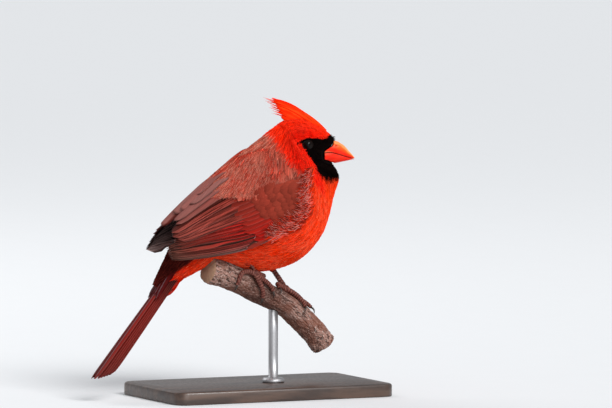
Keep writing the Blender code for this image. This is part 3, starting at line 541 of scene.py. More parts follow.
class Leaves:
    """Gathers closed thin leaves and joins them into one mesh."""

    def __init__(self):
        self.parts = []

    def add(self, places, tint, vane, patch):
        """places is (leaves, rings, points, 3), and the rest have the same first three sizes."""
        values = zip((tint, vane, patch), (3, 3, 2))
        self.parts.append((places, *(np.broadcast_to(v, (*places.shape[:3], size)) for v, size in values)))

    def add_one(self, places, tint, u, flat, chance, patch_at):
        """One leaf, from a flat list of points and its shares along and across."""
        vane = np.stack([u, flat, np.full(u.shape, chance)], axis=-1)
        self.add(places.reshape(1, *u.shape, 3), tint, vane, patches(*patch_at, u, flat))

    def loops(self, places, first):
        """Side faces and two end caps of each leaf, turned so that they face outwards."""
        count, rings, sides = places.shape[:3]
        ring = np.arange(rings - 1)[:, None] * sides
        quads = ring_quads(ring, ring + sides, sides).reshape(-1, 4)
        k = np.arange(sides)
        caps = np.stack([k[::-1], (rings - 1) * sides + k])
        flat = places.reshape(count, rings * sides, 3)
        centred = flat - flat.mean(axis=1, keepdims=True)
        a, b, c, d = (centred[:, quads[:, i]] for i in range(4))
        volume = (np.cross(a, b) * c).sum(axis=(1, 2)) + (np.cross(a, c) * d).sum(axis=(1, 2))
        base = first + np.arange(count)[:, None, None] * rings * sides
        inward = volume < 0
        for faces in (quads, caps):
            placed = faces + base
            placed[inward] = placed[inward][:, :, ::-1]
            yield placed.reshape(-1, faces.shape[1])

    def finish(self, name):
        loops, sizes = [], []
        first = 0
        for places, *_ in self.parts:
            for faces in self.loops(places, first):
                loops.append(faces.ravel())
                sizes.append(np.full(len(faces), faces.shape[1]))
            first += places[..., 0].size
        points, tints, vanes, patch = (
            np.concatenate([item.reshape(-1, item.shape[-1]) for item in kind]) for kind in zip(*self.parts))
        obj = mesh_object(name, points, np.concatenate(loops), np.concatenate(sizes))
        store(obj, "tint", "FLOAT_COLOR", tints)
        store(obj, "vane", "FLOAT_VECTOR", vanes)
        point_map(obj, "OFBake", patch)
        smooth_faces(obj)
        return obj


# The length of a leaf's patch, and the margins of the map that holds them all
PATCH = 0.003
MAP_MARGIN = 0.002


def patches(at_share, angle, u, w):
    """Places for the small patch of each leaf, at its root's place on an unwrap of the skin."""
    across = 0.5 + np.asarray(angle) / (2 * math.pi)
    x = np.clip(across, MAP_MARGIN, 1 - MAP_MARGIN) + 0.5 * PATCH * w
    y = np.clip(at_share, MAP_MARGIN, 1 - 2 * MAP_MARGIN) + PATCH * u
    return np.stack(np.broadcast_arrays(x, y), axis=-1)


def body_metric(at, angle):
    """Millimetres for one station and for one radian, at places on the body."""
    step, turn = 0.05, 0.01
    inner = np.clip(at, step, FACE_AT - step)
    along = body_surface(inner + step, angle) - body_surface(inner - step, angle)
    across = body_surface(at, angle + turn) - body_surface(at, angle - turn)
    lengths = (np.linalg.norm(v, axis=1) / (2 * s) for v, s in ((along, step), (across, turn)))
    return tuple(np.maximum(v, least) for v, least in zip(lengths, (1.0, 3.0)))


def leaf_shape(outline, rings, across, ridge, thickness):
    """Shares along, places across and heights of a leaf's rings: a thin closed form with a raised middle."""
    u = np.linspace(0, 1, rings)
    wide = np.interp(u, *zip(*outline))
    top = np.linspace(-1, 1, across)
    w = np.concatenate([top, top[::-1][1:-1]]) if across > 3 else top
    over = np.concatenate([np.ones(across), np.zeros(len(w) - across)])
    arch = 1 - w * w
    rim = np.where(np.abs(w) > 0.99, 0.5, over)
    height = ridge * arch + thickness * rim * (1 - 0.6 * u[:, None] ** 3)
    return u[:, None] * np.ones(len(w)), w[None, :] * wide[:, None], height, w[None, :] * np.ones((rings, 1))


def lay(leaves, over, roots, steps, lean, reach, half, shape, rise, colours, patch_at, seed, curl=0.0):
    """Lays leaves over a surface from roots on it.

    steps are the surface's two coordinates for one millimetre along and across the coat's lie, rise the
    heights of root and tip over the surface, and colours those of root and tip.
    """
    def each(*values):
        return (v[:, None, None] for v in values)

    u, w, height, flat = shape
    rng = np.random.default_rng(seed)
    count = len(lean)
    sway, turn, reach, half = each(rng.normal(size=count) * curl, lean, reach, half)
    out = reach * u
    side = half * w + sway * u * u
    at, angle, at_step, angle_step, low, high = each(*roots, *steps, *rise)
    s = at + (out * np.cos(turn) - side * np.sin(turn)) * at_step
    g = angle + (out * np.sin(turn) + side * np.cos(turn)) * angle_step
    lift = low + (high - low) * u ** 0.8 + height
    places = over(s.ravel(), g.ravel(), lift.ravel())[0].reshape(*s.shape, 3)
    mix = (u ** 1.5)[..., None]
    root_tint, tip_tint = each(*colours)
    chance, = each(rng.random(count))
    vane = np.stack(np.broadcast_arrays(u, flat, chance), axis=-1)
    leaves.add(places, root_tint * (1 - mix) + tip_tint * mix, vane, patches(*each(*patch_at), u, flat))


def body_steps(at, angle):
    """Stations and radians for one millimetre back along the body and one down its side."""
    along, across = body_metric(at, angle)
    return -1 / along, 1 / across


def seen_place(at, angle, lean, reach, share=0.6):
    """Where the part of a feather that shows lies, as stations and angles."""
    back, down = body_steps(at, angle)
    return at + share * reach * np.cos(lean) * back, angle + share * reach * np.sin(lean) * down


def wing_radian(along, angle, side):
    """Millimetres for one radian, at places on the wing."""
    step = 0.02
    across = wing_surface(along, angle + step, side) - wing_surface(along, angle - step, side)
    return np.linalg.norm(across, axis=1) / (2 * step)


def scattered(count, seed, density):
    """Random roots as stations and angles, even over the body's area but for a density by station."""
    rng = np.random.default_rng(seed)
    at, angle = np.zeros(0), np.zeros(0)
    while len(at) < count:
        a = rng.uniform(0.0, FACE_AT - 0.15, count * 3)
        g = rng.uniform(-math.pi, math.pi, count * 3)
        along, across = body_metric(a, g)
        weight = along * across * density(a)
        keep = rng.random(len(a)) < weight / weight.max()
        at, angle = np.concatenate([at, a[keep]]), np.concatenate([angle, g[keep]])
    return at[:count], angle[:count]


def spaced(at, angle, gap):
    """Thins roots so that none stands nearer to an earlier one than its gap in millimetres."""
    points = body_surface(at, angle)
    cell = float(gap.max())
    cells = {}
    kept = []
    keys = np.floor(points / cell).astype(int).tolist()
    near = [(i, j, k) for i in (-1, 0, 1) for j in (-1, 0, 1) for k in (-1, 0, 1)]
    for index, ((x, y, z), point) in enumerate(zip(keys, points)):
        others = (other for i, j, k in near for other in cells.get((x + i, y + j, z + k), ()))
        if all(np.sum((points[other] - point) ** 2) >= gap[index] ** 2 for other in others):
            cells.setdefault((x, y, z), []).append(index)
            kept.append(index)
    return np.array(kept)


def wing_place(points):
    """The nearest wing coordinates of points: distance from the shoulder, and angle from the ridge."""
    offset = points - WING_START
    along = offset @ WING_ALONG
    height = offset @ WING_UP
    return along, wing_angle(np.clip(along, 0, WING_LENGTH), height)
class Nodes:
    """Short ways to add and join the nodes of a material or a group."""

    def __init__(self, tree):
        self.tree = tree

    def add(self, kind, values=None, **properties):
        node = self.tree.nodes.new("ShaderNode" + kind)
        for key, value in properties.items():
            setattr(node, key, value)
        self.give_all(node.inputs, values or {})
        return node

    def give(self, socket, value):
        if isinstance(value, bpy.types.NodeSocket):
            self.tree.links.new(value, socket)
        elif socket.type == "RGBA":
            socket.default_value = (*value[:3], 1)
        else:
            socket.default_value = value

    def give_all(self, sockets, values):
        for key, value in values.items():
            self.give(sockets[key], value)

    def math(self, operation, a, b=0.0):
        return self.add("Math", {0: a, 1: b}, operation=operation).outputs[0]

    def times(self, a, b):
        return self.math("MULTIPLY", a, b)

    def mix(self, share, a, b, kind="MIX"):
        return self.add("Mix", {0: share, 6: a, 7: b}, data_type="RGBA", blend_type=kind).outputs[2]

    def shaded(self, tone, level):
        """A colour made darker or paler by a value."""
        grey = self.add("CombineColor", {0: level, 1: level, 2: level}).outputs[0]
        return self.mix(1.0, tone, grey, "MULTIPLY")

    def between(self, value, low, high, to_low=0.0, to_high=1.0):
        return self.add("MapRange", {0: value, 1: low, 2: high, 3: to_low, 4: to_high},
                        interpolation_type="SMOOTHSTEP").outputs[0]

    def noise(self, vector, scale, detail=3.0, roughness=0.55):
        values = {"Vector": vector, "Scale": scale, "Detail": detail, "Roughness": roughness}
        return self.add("TexNoise", values).outputs["Fac"]

    def place(self):
        return self.add("TexCoord").outputs["Object"]

    def attribute(self, name, output="Color"):
        return self.add("Attribute", attribute_name=name).outputs[output]

    def group(self, name, values):
        node = self.add("Group")
        node.node_tree = bpy.data.node_groups[name]
        self.give_all(node.inputs, values)
        return node.outputs

    def grain(self, scale, stretch, place=None):
        """Long uneven grain and its pits, on the piece's own place or another one."""
        place = self.place() if place is None else place
        return self.group("Grain", {"Place": place, "Scale": scale, "Stretch": stretch})


class Finish(Nodes):
    """A new material, with the nodes that lead to its one shader."""

    def __init__(self, name, roughness=0.5, **uniform):
        self.material = bpy.data.materials.new(name)
        self.material.use_nodes = True
        super().__init__(self.material.node_tree)
        self.shader = self.tree.nodes["Principled BSDF"].inputs
        self.give(self.shader["Roughness"], roughness)
        self.give_all(self.shader, {key.replace("_", " "): value for key, value in uniform.items()})

    def done(self, tone, rough=None, relief=None):
        """Joins the colour, a roughness as a map's five values, and a relief's height, strength and depth."""
        self.give(self.shader["Base Color"], tone)
        if rough:
            self.give(self.shader["Roughness"], self.between(*rough))
        if relief:
            bump = self.add("Bump", dict(zip(("Height", "Strength", "Distance"), relief)))
            self.give(self.shader["Normal"], bump.outputs[0])
        return self.material


def new_group(name, inputs, outputs):
    group = bpy.data.node_groups.new(name, "ShaderNodeTree")
    for title, kind, default in inputs:
        socket = group.interface.new_socket(name=title, in_out="INPUT", socket_type="NodeSocket" + kind)
        if default is not None:
            socket.default_value = default
    for title in outputs:
        group.interface.new_socket(name=title, in_out="OUTPUT", socket_type="NodeSocketFloat")
    given = group.nodes.new("NodeGroupInput").outputs
    return Nodes(group), given, group.nodes.new("NodeGroupOutput").inputs


def barbs_group():
    """Fine lines that leave a feather's shaft at a slant, from its own coordinates."""
    inputs = (("Vane", "Vector", None), ("Fineness", "Float", 60.0), ("Slant", "Float", 0.35))
    nodes, given, out = new_group("Barbs", inputs, ("Streaks", "Lines", "Shaft", "Rim", "Chance"))
    along, across, chance = nodes.add("SeparateXYZ", {0: given["Vane"]}).outputs
    side = nodes.math("ABSOLUTE", across)
    slanted = nodes.math("SUBTRACT", along, nodes.times(side, given["Slant"]))
    apart = nodes.times(chance, 37.0)
    fine = {0: nodes.times(slanted, given["Fineness"]), 1: nodes.times(across, 1.6), 2: apart}
    coarse = {0: nodes.times(along, 2.2), 1: nodes.times(across, 7.0), 2: apart}
    nodes.give_all(out, {
        "Streaks": nodes.noise(nodes.add("CombineXYZ", fine).outputs[0], 1.0, 3.0),
        "Lines": nodes.noise(nodes.add("CombineXYZ", coarse).outputs[0], 1.0, 2.0),
        "Shaft": nodes.between(side, 0.02, 0.10, 1.0, 0.0),
        "Rim": nodes.between(across, 0.80, 0.97),
        "Chance": chance,
    })


def grain_group():
    """Long uneven grain and small pits, for bark, wood, horn and skin."""
    inputs = (("Place", "Vector", None), ("Scale", "Float", 400.0), ("Stretch", "Vector", (1, 1, 1)))
    nodes, given, out = new_group("Grain", inputs, ("Grain", "Pits"))
    place, scale = given["Place"], given["Scale"]
    stretched = nodes.add("VectorMath", {0: place, 1: given["Stretch"]}, operation="MULTIPLY").outputs[0]
    nodes.give_all(out, {
        "Grain": nodes.noise(stretched, scale, 6.0, 0.6),
        "Pits": nodes.noise(place, nodes.times(scale, 3.0), 2.0),
    })


def feathers(name, streaks, fineness, roughness, relief, rim=None, rim_share=0.0, shaft=None, lines=0.0):
    """Feathers: the leaf's own tint, barbs as fine streaks and relief, a rim and a shaft."""
    nodes = Finish(name, Specular_IOR_Level=0.02)
    barbs = nodes.group("Barbs", {"Vane": nodes.attribute("vane", "Vector"), "Fineness": fineness})
    strength = nodes.between(barbs["Streaks"], 0.3, 0.7, 1.0 - streaks, 1.0 + streaks)
    chance = nodes.between(barbs["Chance"], 0.0, 1.0, 1.0 - 0.5 * streaks, 1.0 + 0.5 * streaks)
    level = nodes.times(strength, chance)
    if lines:
        level = nodes.times(level, nodes.between(barbs["Lines"], 0.36, 0.62, 1.0 - lines, 1.0 + 0.4 * lines))
    tone = nodes.shaded(nodes.attribute("tint"), level)
    if rim is not None:
        edge = nodes.times(barbs["Rim"], nodes.between(barbs["Streaks"], 0.25, 0.6, 0.4, 1.0))
        tone = nodes.mix(nodes.times(edge, rim_share), tone, rim)
    if shaft is not None:
        tone = nodes.mix(nodes.times(barbs["Shaft"], 0.7), tone, shaft)
    rough = (barbs["Streaks"], 0.2, 0.8, roughness - 0.1, roughness + 0.12)
    return nodes.done(tone, rough, (barbs["Streaks"], relief, 0.0004))


def body_feathers(name):
    return feathers(name, streaks=0.22, fineness=26.0, roughness=0.75, relief=0.6)


def wing_quills(name):
    return feathers(name, streaks=0.4, fineness=120.0, roughness=0.55, relief=0.25, rim=settings().wings.edge,
                    rim_share=0.10, shaft=(0.05, 0.012, 0.008), lines=0.75)


def wing_coverts(name):
    return feathers(name, streaks=0.20, fineness=40.0, roughness=0.62, relief=0.4, rim=settings().wings.edge,
                    rim_share=0.15)


def tail_vanes(name):
    # Painted highlight: the pale bluish line along each shaft paints a glint; the shafts themselves are dark
    return feathers(name, streaks=0.22, fineness=130.0, roughness=0.55, relief=0.25, rim=(0.26, 0.10, 0.085),
                    rim_share=0.55, shaft=(0.30, 0.22, 0.24))


def crest_strands(name):
    return feathers(name, streaks=0.25, fineness=30.0, roughness=0.6, relief=0.4)


def skin_down(name):
    """Down and short feathers under the coat, in the coat's own colours."""
    nodes = Finish(name, 0.8, Specular_IOR_Level=0.06)
    grain = nodes.grain(900.0, (1.0, 1.0, 0.35))["Grain"]
    tone = nodes.shaded(nodes.attribute("tint"), nodes.between(grain, 0.3, 0.7, 0.45, 1.0))
    return nodes.done(tone, relief=(grain, 0.8, 0.0006))


def bill_horn(name):
    """Horn: the tint runs from a highlight painted along the ridge to red sides, with faint growth lines and
    a satin gloss.
    """
    nodes = Finish(name, 0.4, Coat_Weight=0.04, Coat_Roughness=0.3, Specular_IOR_Level=0.12)
    grain = nodes.grain(500.0, (0.3, 1.0, 1.0))
    cloud = nodes.times(nodes.between(grain["Grain"], 0.35, 0.7), 0.05)
    tone = nodes.mix(cloud, nodes.attribute("tint"), (0.98, 0.30, 0.12))
    return nodes.done(tone, (grain["Pits"], 0.3, 0.7, 0.26, 0.42), (grain["Grain"], 0.15, 0.0002))


def leg_scutes(name):
    """Scaly skin with paler scute edges."""
    bare = settings().bare
    nodes = Finish(name, 0.5, Specular_IOR_Level=0.2)
    grain = nodes.grain(1200.0, (1.0, 1.0, 1.0))
    tone = nodes.mix(nodes.attribute("scute", "Fac"), bare.leg, bare.scute)
    tone = nodes.mix(nodes.between(grain["Grain"], 0.35, 0.7, 0.0, 0.4), tone, (0.07, 0.03, 0.022))
    return nodes.done(tone, (grain["Pits"], 0.3, 0.7, 0.4, 0.65), (grain["Pits"], 0.4, 0.0002))


def horn(name, tone, roughness, gloss):
    nodes = Finish(name, roughness, Coat_Weight=gloss, Specular_IOR_Level=gloss)
    grain = nodes.grain(1500.0, (0.4, 1.0, 0.6))["Grain"]
    pale = [min(1.0, 2.6 * c + 0.02) for c in tone]
    share = nodes.between(grain, 0.45, 0.8, 0.0, 0.6)
    return nodes.done(nodes.mix(share, tone, pale), relief=(grain, 0.2, 0.0002))


def claw_horn(name):
    return horn(name, settings().bare.claw, 0.35, 0.2)


def lid_skin(name):
    return horn(name, settings().bare.lid, 0.8, 0.05)


def eye_wet(name):
    """A dark brown iris round a black pupil, under a clear wet coat."""
    nodes = Finish(name, 0.3, Coat_Weight=0.18, Coat_Roughness=0.06, Specular_IOR_Level=0.02)
    grain = nodes.grain(1800.0, (1.0, 1.0, 1.0))["Grain"]
    flecks = nodes.times(nodes.attribute("iris", "Fac"), nodes.between(grain, 0.3, 0.7, 0.5, 1.0))
    return nodes.done(nodes.mix(flecks, (0.0015, 0.0012, 0.0012), settings().bare.iris))


def perch_bark(name):
    """Weathered bark: long ridges with dark grooves between them, pale flaking scales and redder patches."""
    stand = settings().stand
    nodes = Finish(name, 0.85, Specular_IOR_Level=0.25)
    lie = nodes.attribute("lie", "Vector")
    ridges = nodes.grain(1.0, (1.3, 5.0, 5.0), lie)["Grain"]
    flaking = nodes.grain(1.0, (5.0, 11.0, 11.0), lie)
    flakes = flaking["Grain"]
    broad = nodes.noise(nodes.place(), 60.0, 2.0)
    tone = nodes.mix(nodes.between(ridges, 0.40, 0.56), stand.bark_dark, stand.bark)
    tone = nodes.mix(nodes.between(flakes, 0.52, 0.66, 0.0, 0.95), tone, stand.bark_pale)
    tone = nodes.mix(nodes.between(broad, 0.46, 0.56, 0.0, 0.65), tone, (0.17, 0.055, 0.030))
    # Painted shade from the shade attribute: the shadow under the bird and on the underside, broken up by the
    # flakes
    painted_shadow = nodes.times(nodes.attribute("shade", "Fac"), nodes.between(flakes, 0.40, 0.60, 1.0, 0.6))
    tone = nodes.mix(painted_shadow, tone, (0.050, 0.018, 0.012))
    tone = nodes.mix(nodes.attribute("cut", "Fac"), tone, stand.cut_wood)
    rough = (flaking["Pits"], 0.3, 0.7, 0.75, 0.95)
    return nodes.done(tone, rough, (nodes.math("ADD", ridges, flakes), 0.7, 0.0009))


def base_wood(name):
    """Dark wood with a long grain under a satin finish."""
    nodes = Finish(name, 0.4, Coat_Weight=0.35, Coat_Roughness=0.3)
    grain = nodes.grain(160.0, (0.12, 1.0, 1.0))
    tone = nodes.mix(nodes.between(grain["Grain"], 0.35, 0.65), settings().stand.wood, (0.085, 0.046, 0.03))
    return nodes.done(tone, (grain["Pits"], 0.3, 0.7, 0.34, 0.5), (grain["Grain"], 0.1, 0.0004))


def rod_steel(name):
    """Satin steel with fine turned lines."""
    steel = settings().stand.steel
    nodes = Finish(name, 0.5, Metallic=1.0)
    grain = nodes.grain(700.0, (0.2, 0.2, 6.0))["Grain"]
    tone = nodes.mix(grain, steel, [min(1.0, 1.25 * c) for c in steel])
    return nodes.done(tone, (grain, 0.3, 0.7, 0.42, 0.58), (grain, 0.06, 0.0002))


def floor_paint(name):
    nodes = Finish(name, 0.8)
    grain = nodes.noise(nodes.place(), 40.0, 2.0)
    share = nodes.between(grain, 0.3, 0.7, 0.0, 0.04)
    return nodes.done(nodes.mix(share, settings().stand.floor, (0.7, 0.71, 0.72)))


def cover(obj, finish, slot, *replaced):
    """Gives a piece its material, made on first use, its body when a slot is named, and hides the solids'
    nodes that it replaces.
    """
    obj.data.materials.clear()
    obj.data.materials.append(bpy.data.materials.get(finish.__name__) or finish(finish.__name__))
    if slot is not None:
        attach(obj, "root")
    if replaced:
        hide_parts(*replaced)


def shared_groups():
    if "Barbs" not in bpy.data.node_groups:
        barbs_group()
        grain_group()


def cad_copy(node, name):
    """A new piece from a solid's mesh, its loose triangles merged."""
    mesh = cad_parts[node].data.copy()
    mesh.name = name
    mesh.materials.clear()
    obj = new_object(name, mesh)
    edit_whole(obj, bpy.ops.mesh.remove_doubles, threshold=2e-6)
    return obj


def apply_modifier(obj, kind, **values):
    activate(obj)
    modifier = obj.modifiers.new(kind.title(), kind)
    for key, value in values.items():
        setattr(modifier, key, value)
    bpy.ops.object.modifier_apply(modifier=modifier.name)


def remeshed(obj, voxel, rounds=3, factor=0.5):
    """One even closed surface in place of a faceted or joined form, then smoothed."""
    apply_modifier(obj, "REMESH", mode="VOXEL", voxel_size=voxel)
    if rounds:
        apply_modifier(obj, "SMOOTH", factor=factor, iterations=rounds)
    bpy.ops.object.shade_smooth()


def point_values(obj, field):
    values = np.zeros(len(obj.data.vertices) * 3, np.float32)
    obj.data.vertices.foreach_get(field, values)
    return values.reshape(-1, 3).astype(float)


def corners(obj):
    """The mesh's points in millimetres."""
    return point_values(obj, "co") / MM


def pushed_out(obj, distance):
    """The mesh's points in millimetres, moved out along its normals."""
    return corners(obj) + distance * point_values(obj, "normal")


def move_corners(obj, points):
    obj.data.vertices.foreach_set("co", (points * MM).astype(np.float32).ravel())
    obj.data.update()


def grid_object(name, rings):
    """A closed form from rings of points, with a fan at each end."""
    rings = np.asarray(rings)
    count, sides = rings.shape[:2]
    ends = np.stack([rings[0].mean(axis=0), rings[-1].mean(axis=0)])
    points = np.concatenate([rings.reshape(-1, 3), ends])
    ring = np.arange(count - 1)[:, None] * sides
    quads = ring_quads(ring, ring + sides, sides)
    k = np.arange(sides)
    after = (k + 1) % sides
    last = (count - 1) * sides
    first_fan = np.stack([after, k, np.full(sides, count * sides)], axis=-1)
    last_fan = np.stack([last + k, last + after, np.full(sides, count * sides + 1)], axis=-1)
    loops = np.concatenate([quads.ravel(), first_fan.ravel(), last_fan.ravel()])
    obj = mesh_object(name, points, loops, np.repeat((4, 3), (quads.size // 4, 2 * sides)))
    edit_whole(obj, bpy.ops.mesh.normals_make_consistent, inside=False)
    return obj


def join(objects, name):
    activate(objects[0])
    for obj in objects[1:]:
        obj.select_set(True)
    bpy.ops.object.join()
    joined = bpy.context.view_layer.objects.active
    joined.name = joined.data.name = name
    return joined


# The tops of the legs, inside the belly, and how far the tarsi run up into the thighs' feathers
LEG_TOPS = {"right": (-15.0, -14.5, 88.0), "left": (9.0, 9.0, 86.0)}
THIGH_REACH = 9.0
# The toes' hubs, as shares of the branch's length and degrees round it from its top
HUBS = {"right": (0.295, 48), "left": (0.55, -16)}
HUB_HEIGHT = 2.65
PERCH_ROUTE = (
    (-40, -12, 81), (-23.5, -9, 76), (-1, -5.2, 65.6), (21, -1.3, 54.3), (38.5, 1.8, 39.7), (47, 3.3, 30),
)
PERCH_RADIUS = 8.1
PERCH_LENGTH = 125.0


def perch_frame(share):
    """Centres of the branch and its two directions across, at shares of its length."""
    at = np.atleast_1d(np.asarray(share, float)) * (len(PERCH_ROUTE) - 1)
    ahead = unit(through(PERCH_ROUTE, at + 0.05) - through(PERCH_ROUTE, at - 0.05))
    side = unit(np.cross(ahead, (0, 0, 1.0)))
    return through(PERCH_ROUTE, at), side, np.cross(side, ahead)


def perch_radius(share, angle):
    swell = 0.45 * np.sin(7.3 * share + 0.6) + 0.25 * np.sin(17 * share + 2)
    grain = 0.30 * np.sin(3 * angle + 4 * share) + 0.22 * np.sin(5 * angle - 7 * share)
    return PERCH_RADIUS + swell + grain


def perch_points(share, angle, out=0.0):
    share, angle, out = np.broadcast_arrays(np.atleast_1d(np.asarray(share, float)), angle, out)
    centre, side, up = perch_frame(share)
    reach = (perch_radius(share, angle) + out)[:, None]
    return centre + reach * (np.cos(angle)[:, None] * up + np.sin(angle)[:, None] * side)


def leg_line(side_name):
    """The leg's top, its foot on the branch and the way down from one to the other."""
    share, angle = HUBS[side_name]
    hub = perch_points(share, math.radians(angle), HUB_HEIGHT)[0]
    top = np.array(LEG_TOPS[side_name])
    return top, hub, unit(hub - top)


def nearest_on_body(points):
    """The stations and angles of the places on the body that lie nearest to points."""
    at, angle = np.meshgrid(np.linspace(0, FACE_AT, 180), np.linspace(-math.pi, math.pi, 181))
    at, angle = at.ravel(), angle.ravel()
    tree = KDTree(len(at))
    for index, place in enumerate(body_surface(at, angle)):
        tree.insert(Vector(place), index)
    tree.balance()
    index = np.array([tree.find(Vector(p))[1] for p in points])
    return at[index], angle[index]


# The thigh's radii at shares of the leg's length
THIGH_RADII = ((0.0, 5.4), (0.15, 5.2), (0.3, 4.2), (0.42, 3.0), (0.5, 1.6))
# The stations between which the coat's depth changes, and how much gray down shows in the skin's colours
COAT_STATIONS = (0, 11, 14, FACE_AT)
DOWN_SHARE = 0.45


class CARDINAL_OT_skin(Operator):
    """Makes the one skin that lies under the coat, from the tail's root to the bill"""

    bl_idname = "cardinal.skin"
    bl_label = "Skin"

    def execute(self, context):
        plumage = settings().plumage
        pieces = [self.trunk(plumage), self.thigh("right"), self.thigh("left")]
        skin = join(pieces, "skin")
        remeshed(skin, plumage.skin_voxel, 4)
        points = corners(skin)
        at, angle = nearest_on_body(points)
        tone = plumage_colour(at, angle, body_surface(at, angle))
        tone = mixed(tone, plumage.down, DOWN_SHARE * (1 - mask_share(points)))
        store(skin, "tint", "FLOAT_COLOR", tone)
        cover(skin, skin_down, "body_plumage", "torso", "neck", "head", "thigh_left", "thigh_right")
        return {"FINISHED"}

    def trunk(self, plumage):
        depth, face = plumage.coat_depth / MM, plumage.face_depth / MM
        turns = np.linspace(0, 2 * math.pi, 96, endpoint=False)
        angle = np.where(turns > math.pi, turns - 2 * math.pi, turns)
        rings = []
        for at in np.linspace(0.02, FACE_AT - 0.02, 150):
            deep = -np.interp(at, COAT_STATIONS, (depth, depth, face, face))
            rings.append(body_over(np.full(len(turns), at), angle, deep)[0])
        return grid_object("skin_body", rings)

    def thigh(self, side_name):
        """The thigh, from inside the belly down to the tarsus."""
        top, hub, ahead = leg_line(side_name)
        shares = np.linspace(0, 0.48, 12)
        radii = np.interp(shares, *zip(*THIGH_RADII)) - 1.0
        side = unit(np.cross(ahead, (0, 1.0, 0)))
        over = np.cross(side, ahead)
        turn = np.linspace(0, 2 * math.pi, 24, endpoint=False)[:, None]
        around = np.cos(turn) * side + np.sin(turn) * over
        rings = [top + (hub - top) * share + radius * around for share, radius in zip(shares, radii)]
        return grid_object("skin_" + side_name, rings)


def covered_by_wing(points):
    """Whether places on the body lie well under a folded wing."""
    along, angle = wing_place(points)
    degrees = np.degrees(angle)
    far = (along > 50) & (degrees < 88) & (degrees > 12)
    near = (along > 24) & (along <= 50) & (degrees > 50) & (degrees < 88)
    return far | near


def feather_lengths(at):
    """Length, half-width and gap of the contour feathers: shortest on the face."""
    face = eased((at - 9.0) / 6.5)
    neck = eased((at - 6.5) / 2.5)
    long = 11.0 * (1 - neck) + 7.5 * neck
    long = long * (1 - face) + 2.6 * face
    return long, 0.24 * long + 0.25, 0.25 * long + 0.35


def lie_of_coat(at, angle):
    """How far the coat's lie leans down the sides, in radians: the cheeks' feathers run back and down."""
    a = np.abs(angle)
    cheek = eased((at - 9.5) / 2.5) * eased((a - 0.6) / 0.6) * eased((2.6 - a) / 0.5)
    throat = eased((at - 11) / 3) * eased((a - 2.4) / 0.4)
    crown = eased((at - 10.5) / 2.0) * eased((1.0 - a) / 0.5)
    back = eased((7.5 - at) / 2) * eased((at - 3.0) / 2) * eased((a - 0.25) / 0.4) * eased((1.75 - a) / 0.4)
    return 0.30 * cheek - 0.15 * throat - 0.20 * crown + 0.42 * back


# Half-widths of the contour feathers and of the strands, at shares of their length
CONTOUR = ((0.0, 0.45), (0.35, 0.95), (0.65, 1.0), (0.86, 0.72), (1.0, 0.16))
STRAND = ((0.0, 0.8), (0.5, 1.0), (1.0, 0.08))

# Places tried for each contour feather, of which most stand too near to another one
TRIES = 9
REGION_NAMES = ("face", "head", "neck", "back", "flank", "belly")


def coat_regions(at, angle):
    """Which coat piece a root belongs to: one of the regions, on the right or the left."""
    a = np.abs(angle)
    region = np.where(at > 12.3, 0, np.where(at > 10.2, 1, np.where(at > 7.4, 2, 3)))
    region = np.where((region == 3) & (a > 1.62), np.where(at > 4.6, 4, 5), region)
    return 2 * region + (angle > 0)


class Roots:
    """Places on the body where feathers grow, with their lie, length and colours."""

    def __init__(self, at, angle, seed):
        self.at, self.angle = at, angle
        self.rng = np.random.default_rng(seed)
        self.points = body_surface(at, angle)
        self.reach, self.half, self.gap = feather_lengths(at)
        self.lean = lie_of_coat(at, angle) * np.sign(angle)

    def keep(self, chosen):
        for name in ("at", "angle", "points", "reach", "half", "gap", "lean"):
            setattr(self, name, getattr(self, name)[chosen])

    def dye(self, spread, tip_strength):
        """Colours from the place where each feather shows, varied a little from one to the next."""
        at, angle = seen_place(self.at, self.angle, self.lean, self.reach)
        points = body_surface(at, angle)
        tint = plumage_colour(at, angle, points)
        shade = np.exp(spread * self.rng.normal(size=(len(at), 1)))
        tips = tip_colours(at, angle, tint, tip_strength, self.rng)
        # Painted shade: each feather darkens towards its root, where it lies under its neighbours, less so on
        # the head
        self.root_tint = np.minimum(tint * shade * np.interp(self.at, (8, 11), (0.6, 0.78))[:, None], 1)
        self.tip_tint = np.minimum(tips * shade, 1)

    def lay(self, groups, shape_of, rise, seed):
        region = coat_regions(self.at, self.angle)
        steps = body_steps(self.at, self.angle)
        for index, leaves in enumerate(groups):
            pick = region == index
            if not pick.any():
                continue
            lay(leaves, body_over, (self.at[pick], self.angle[pick]), (steps[0][pick], steps[1][pick]),
                self.lean[pick], self.reach[pick], self.half[pick], shape_of(index // 2),
                tuple(r[pick] for r in rise), (self.root_tint[pick], self.tip_tint[pick]),
                (self.at[pick] / FACE_AT, self.angle[pick]), seed + index, 0.5)


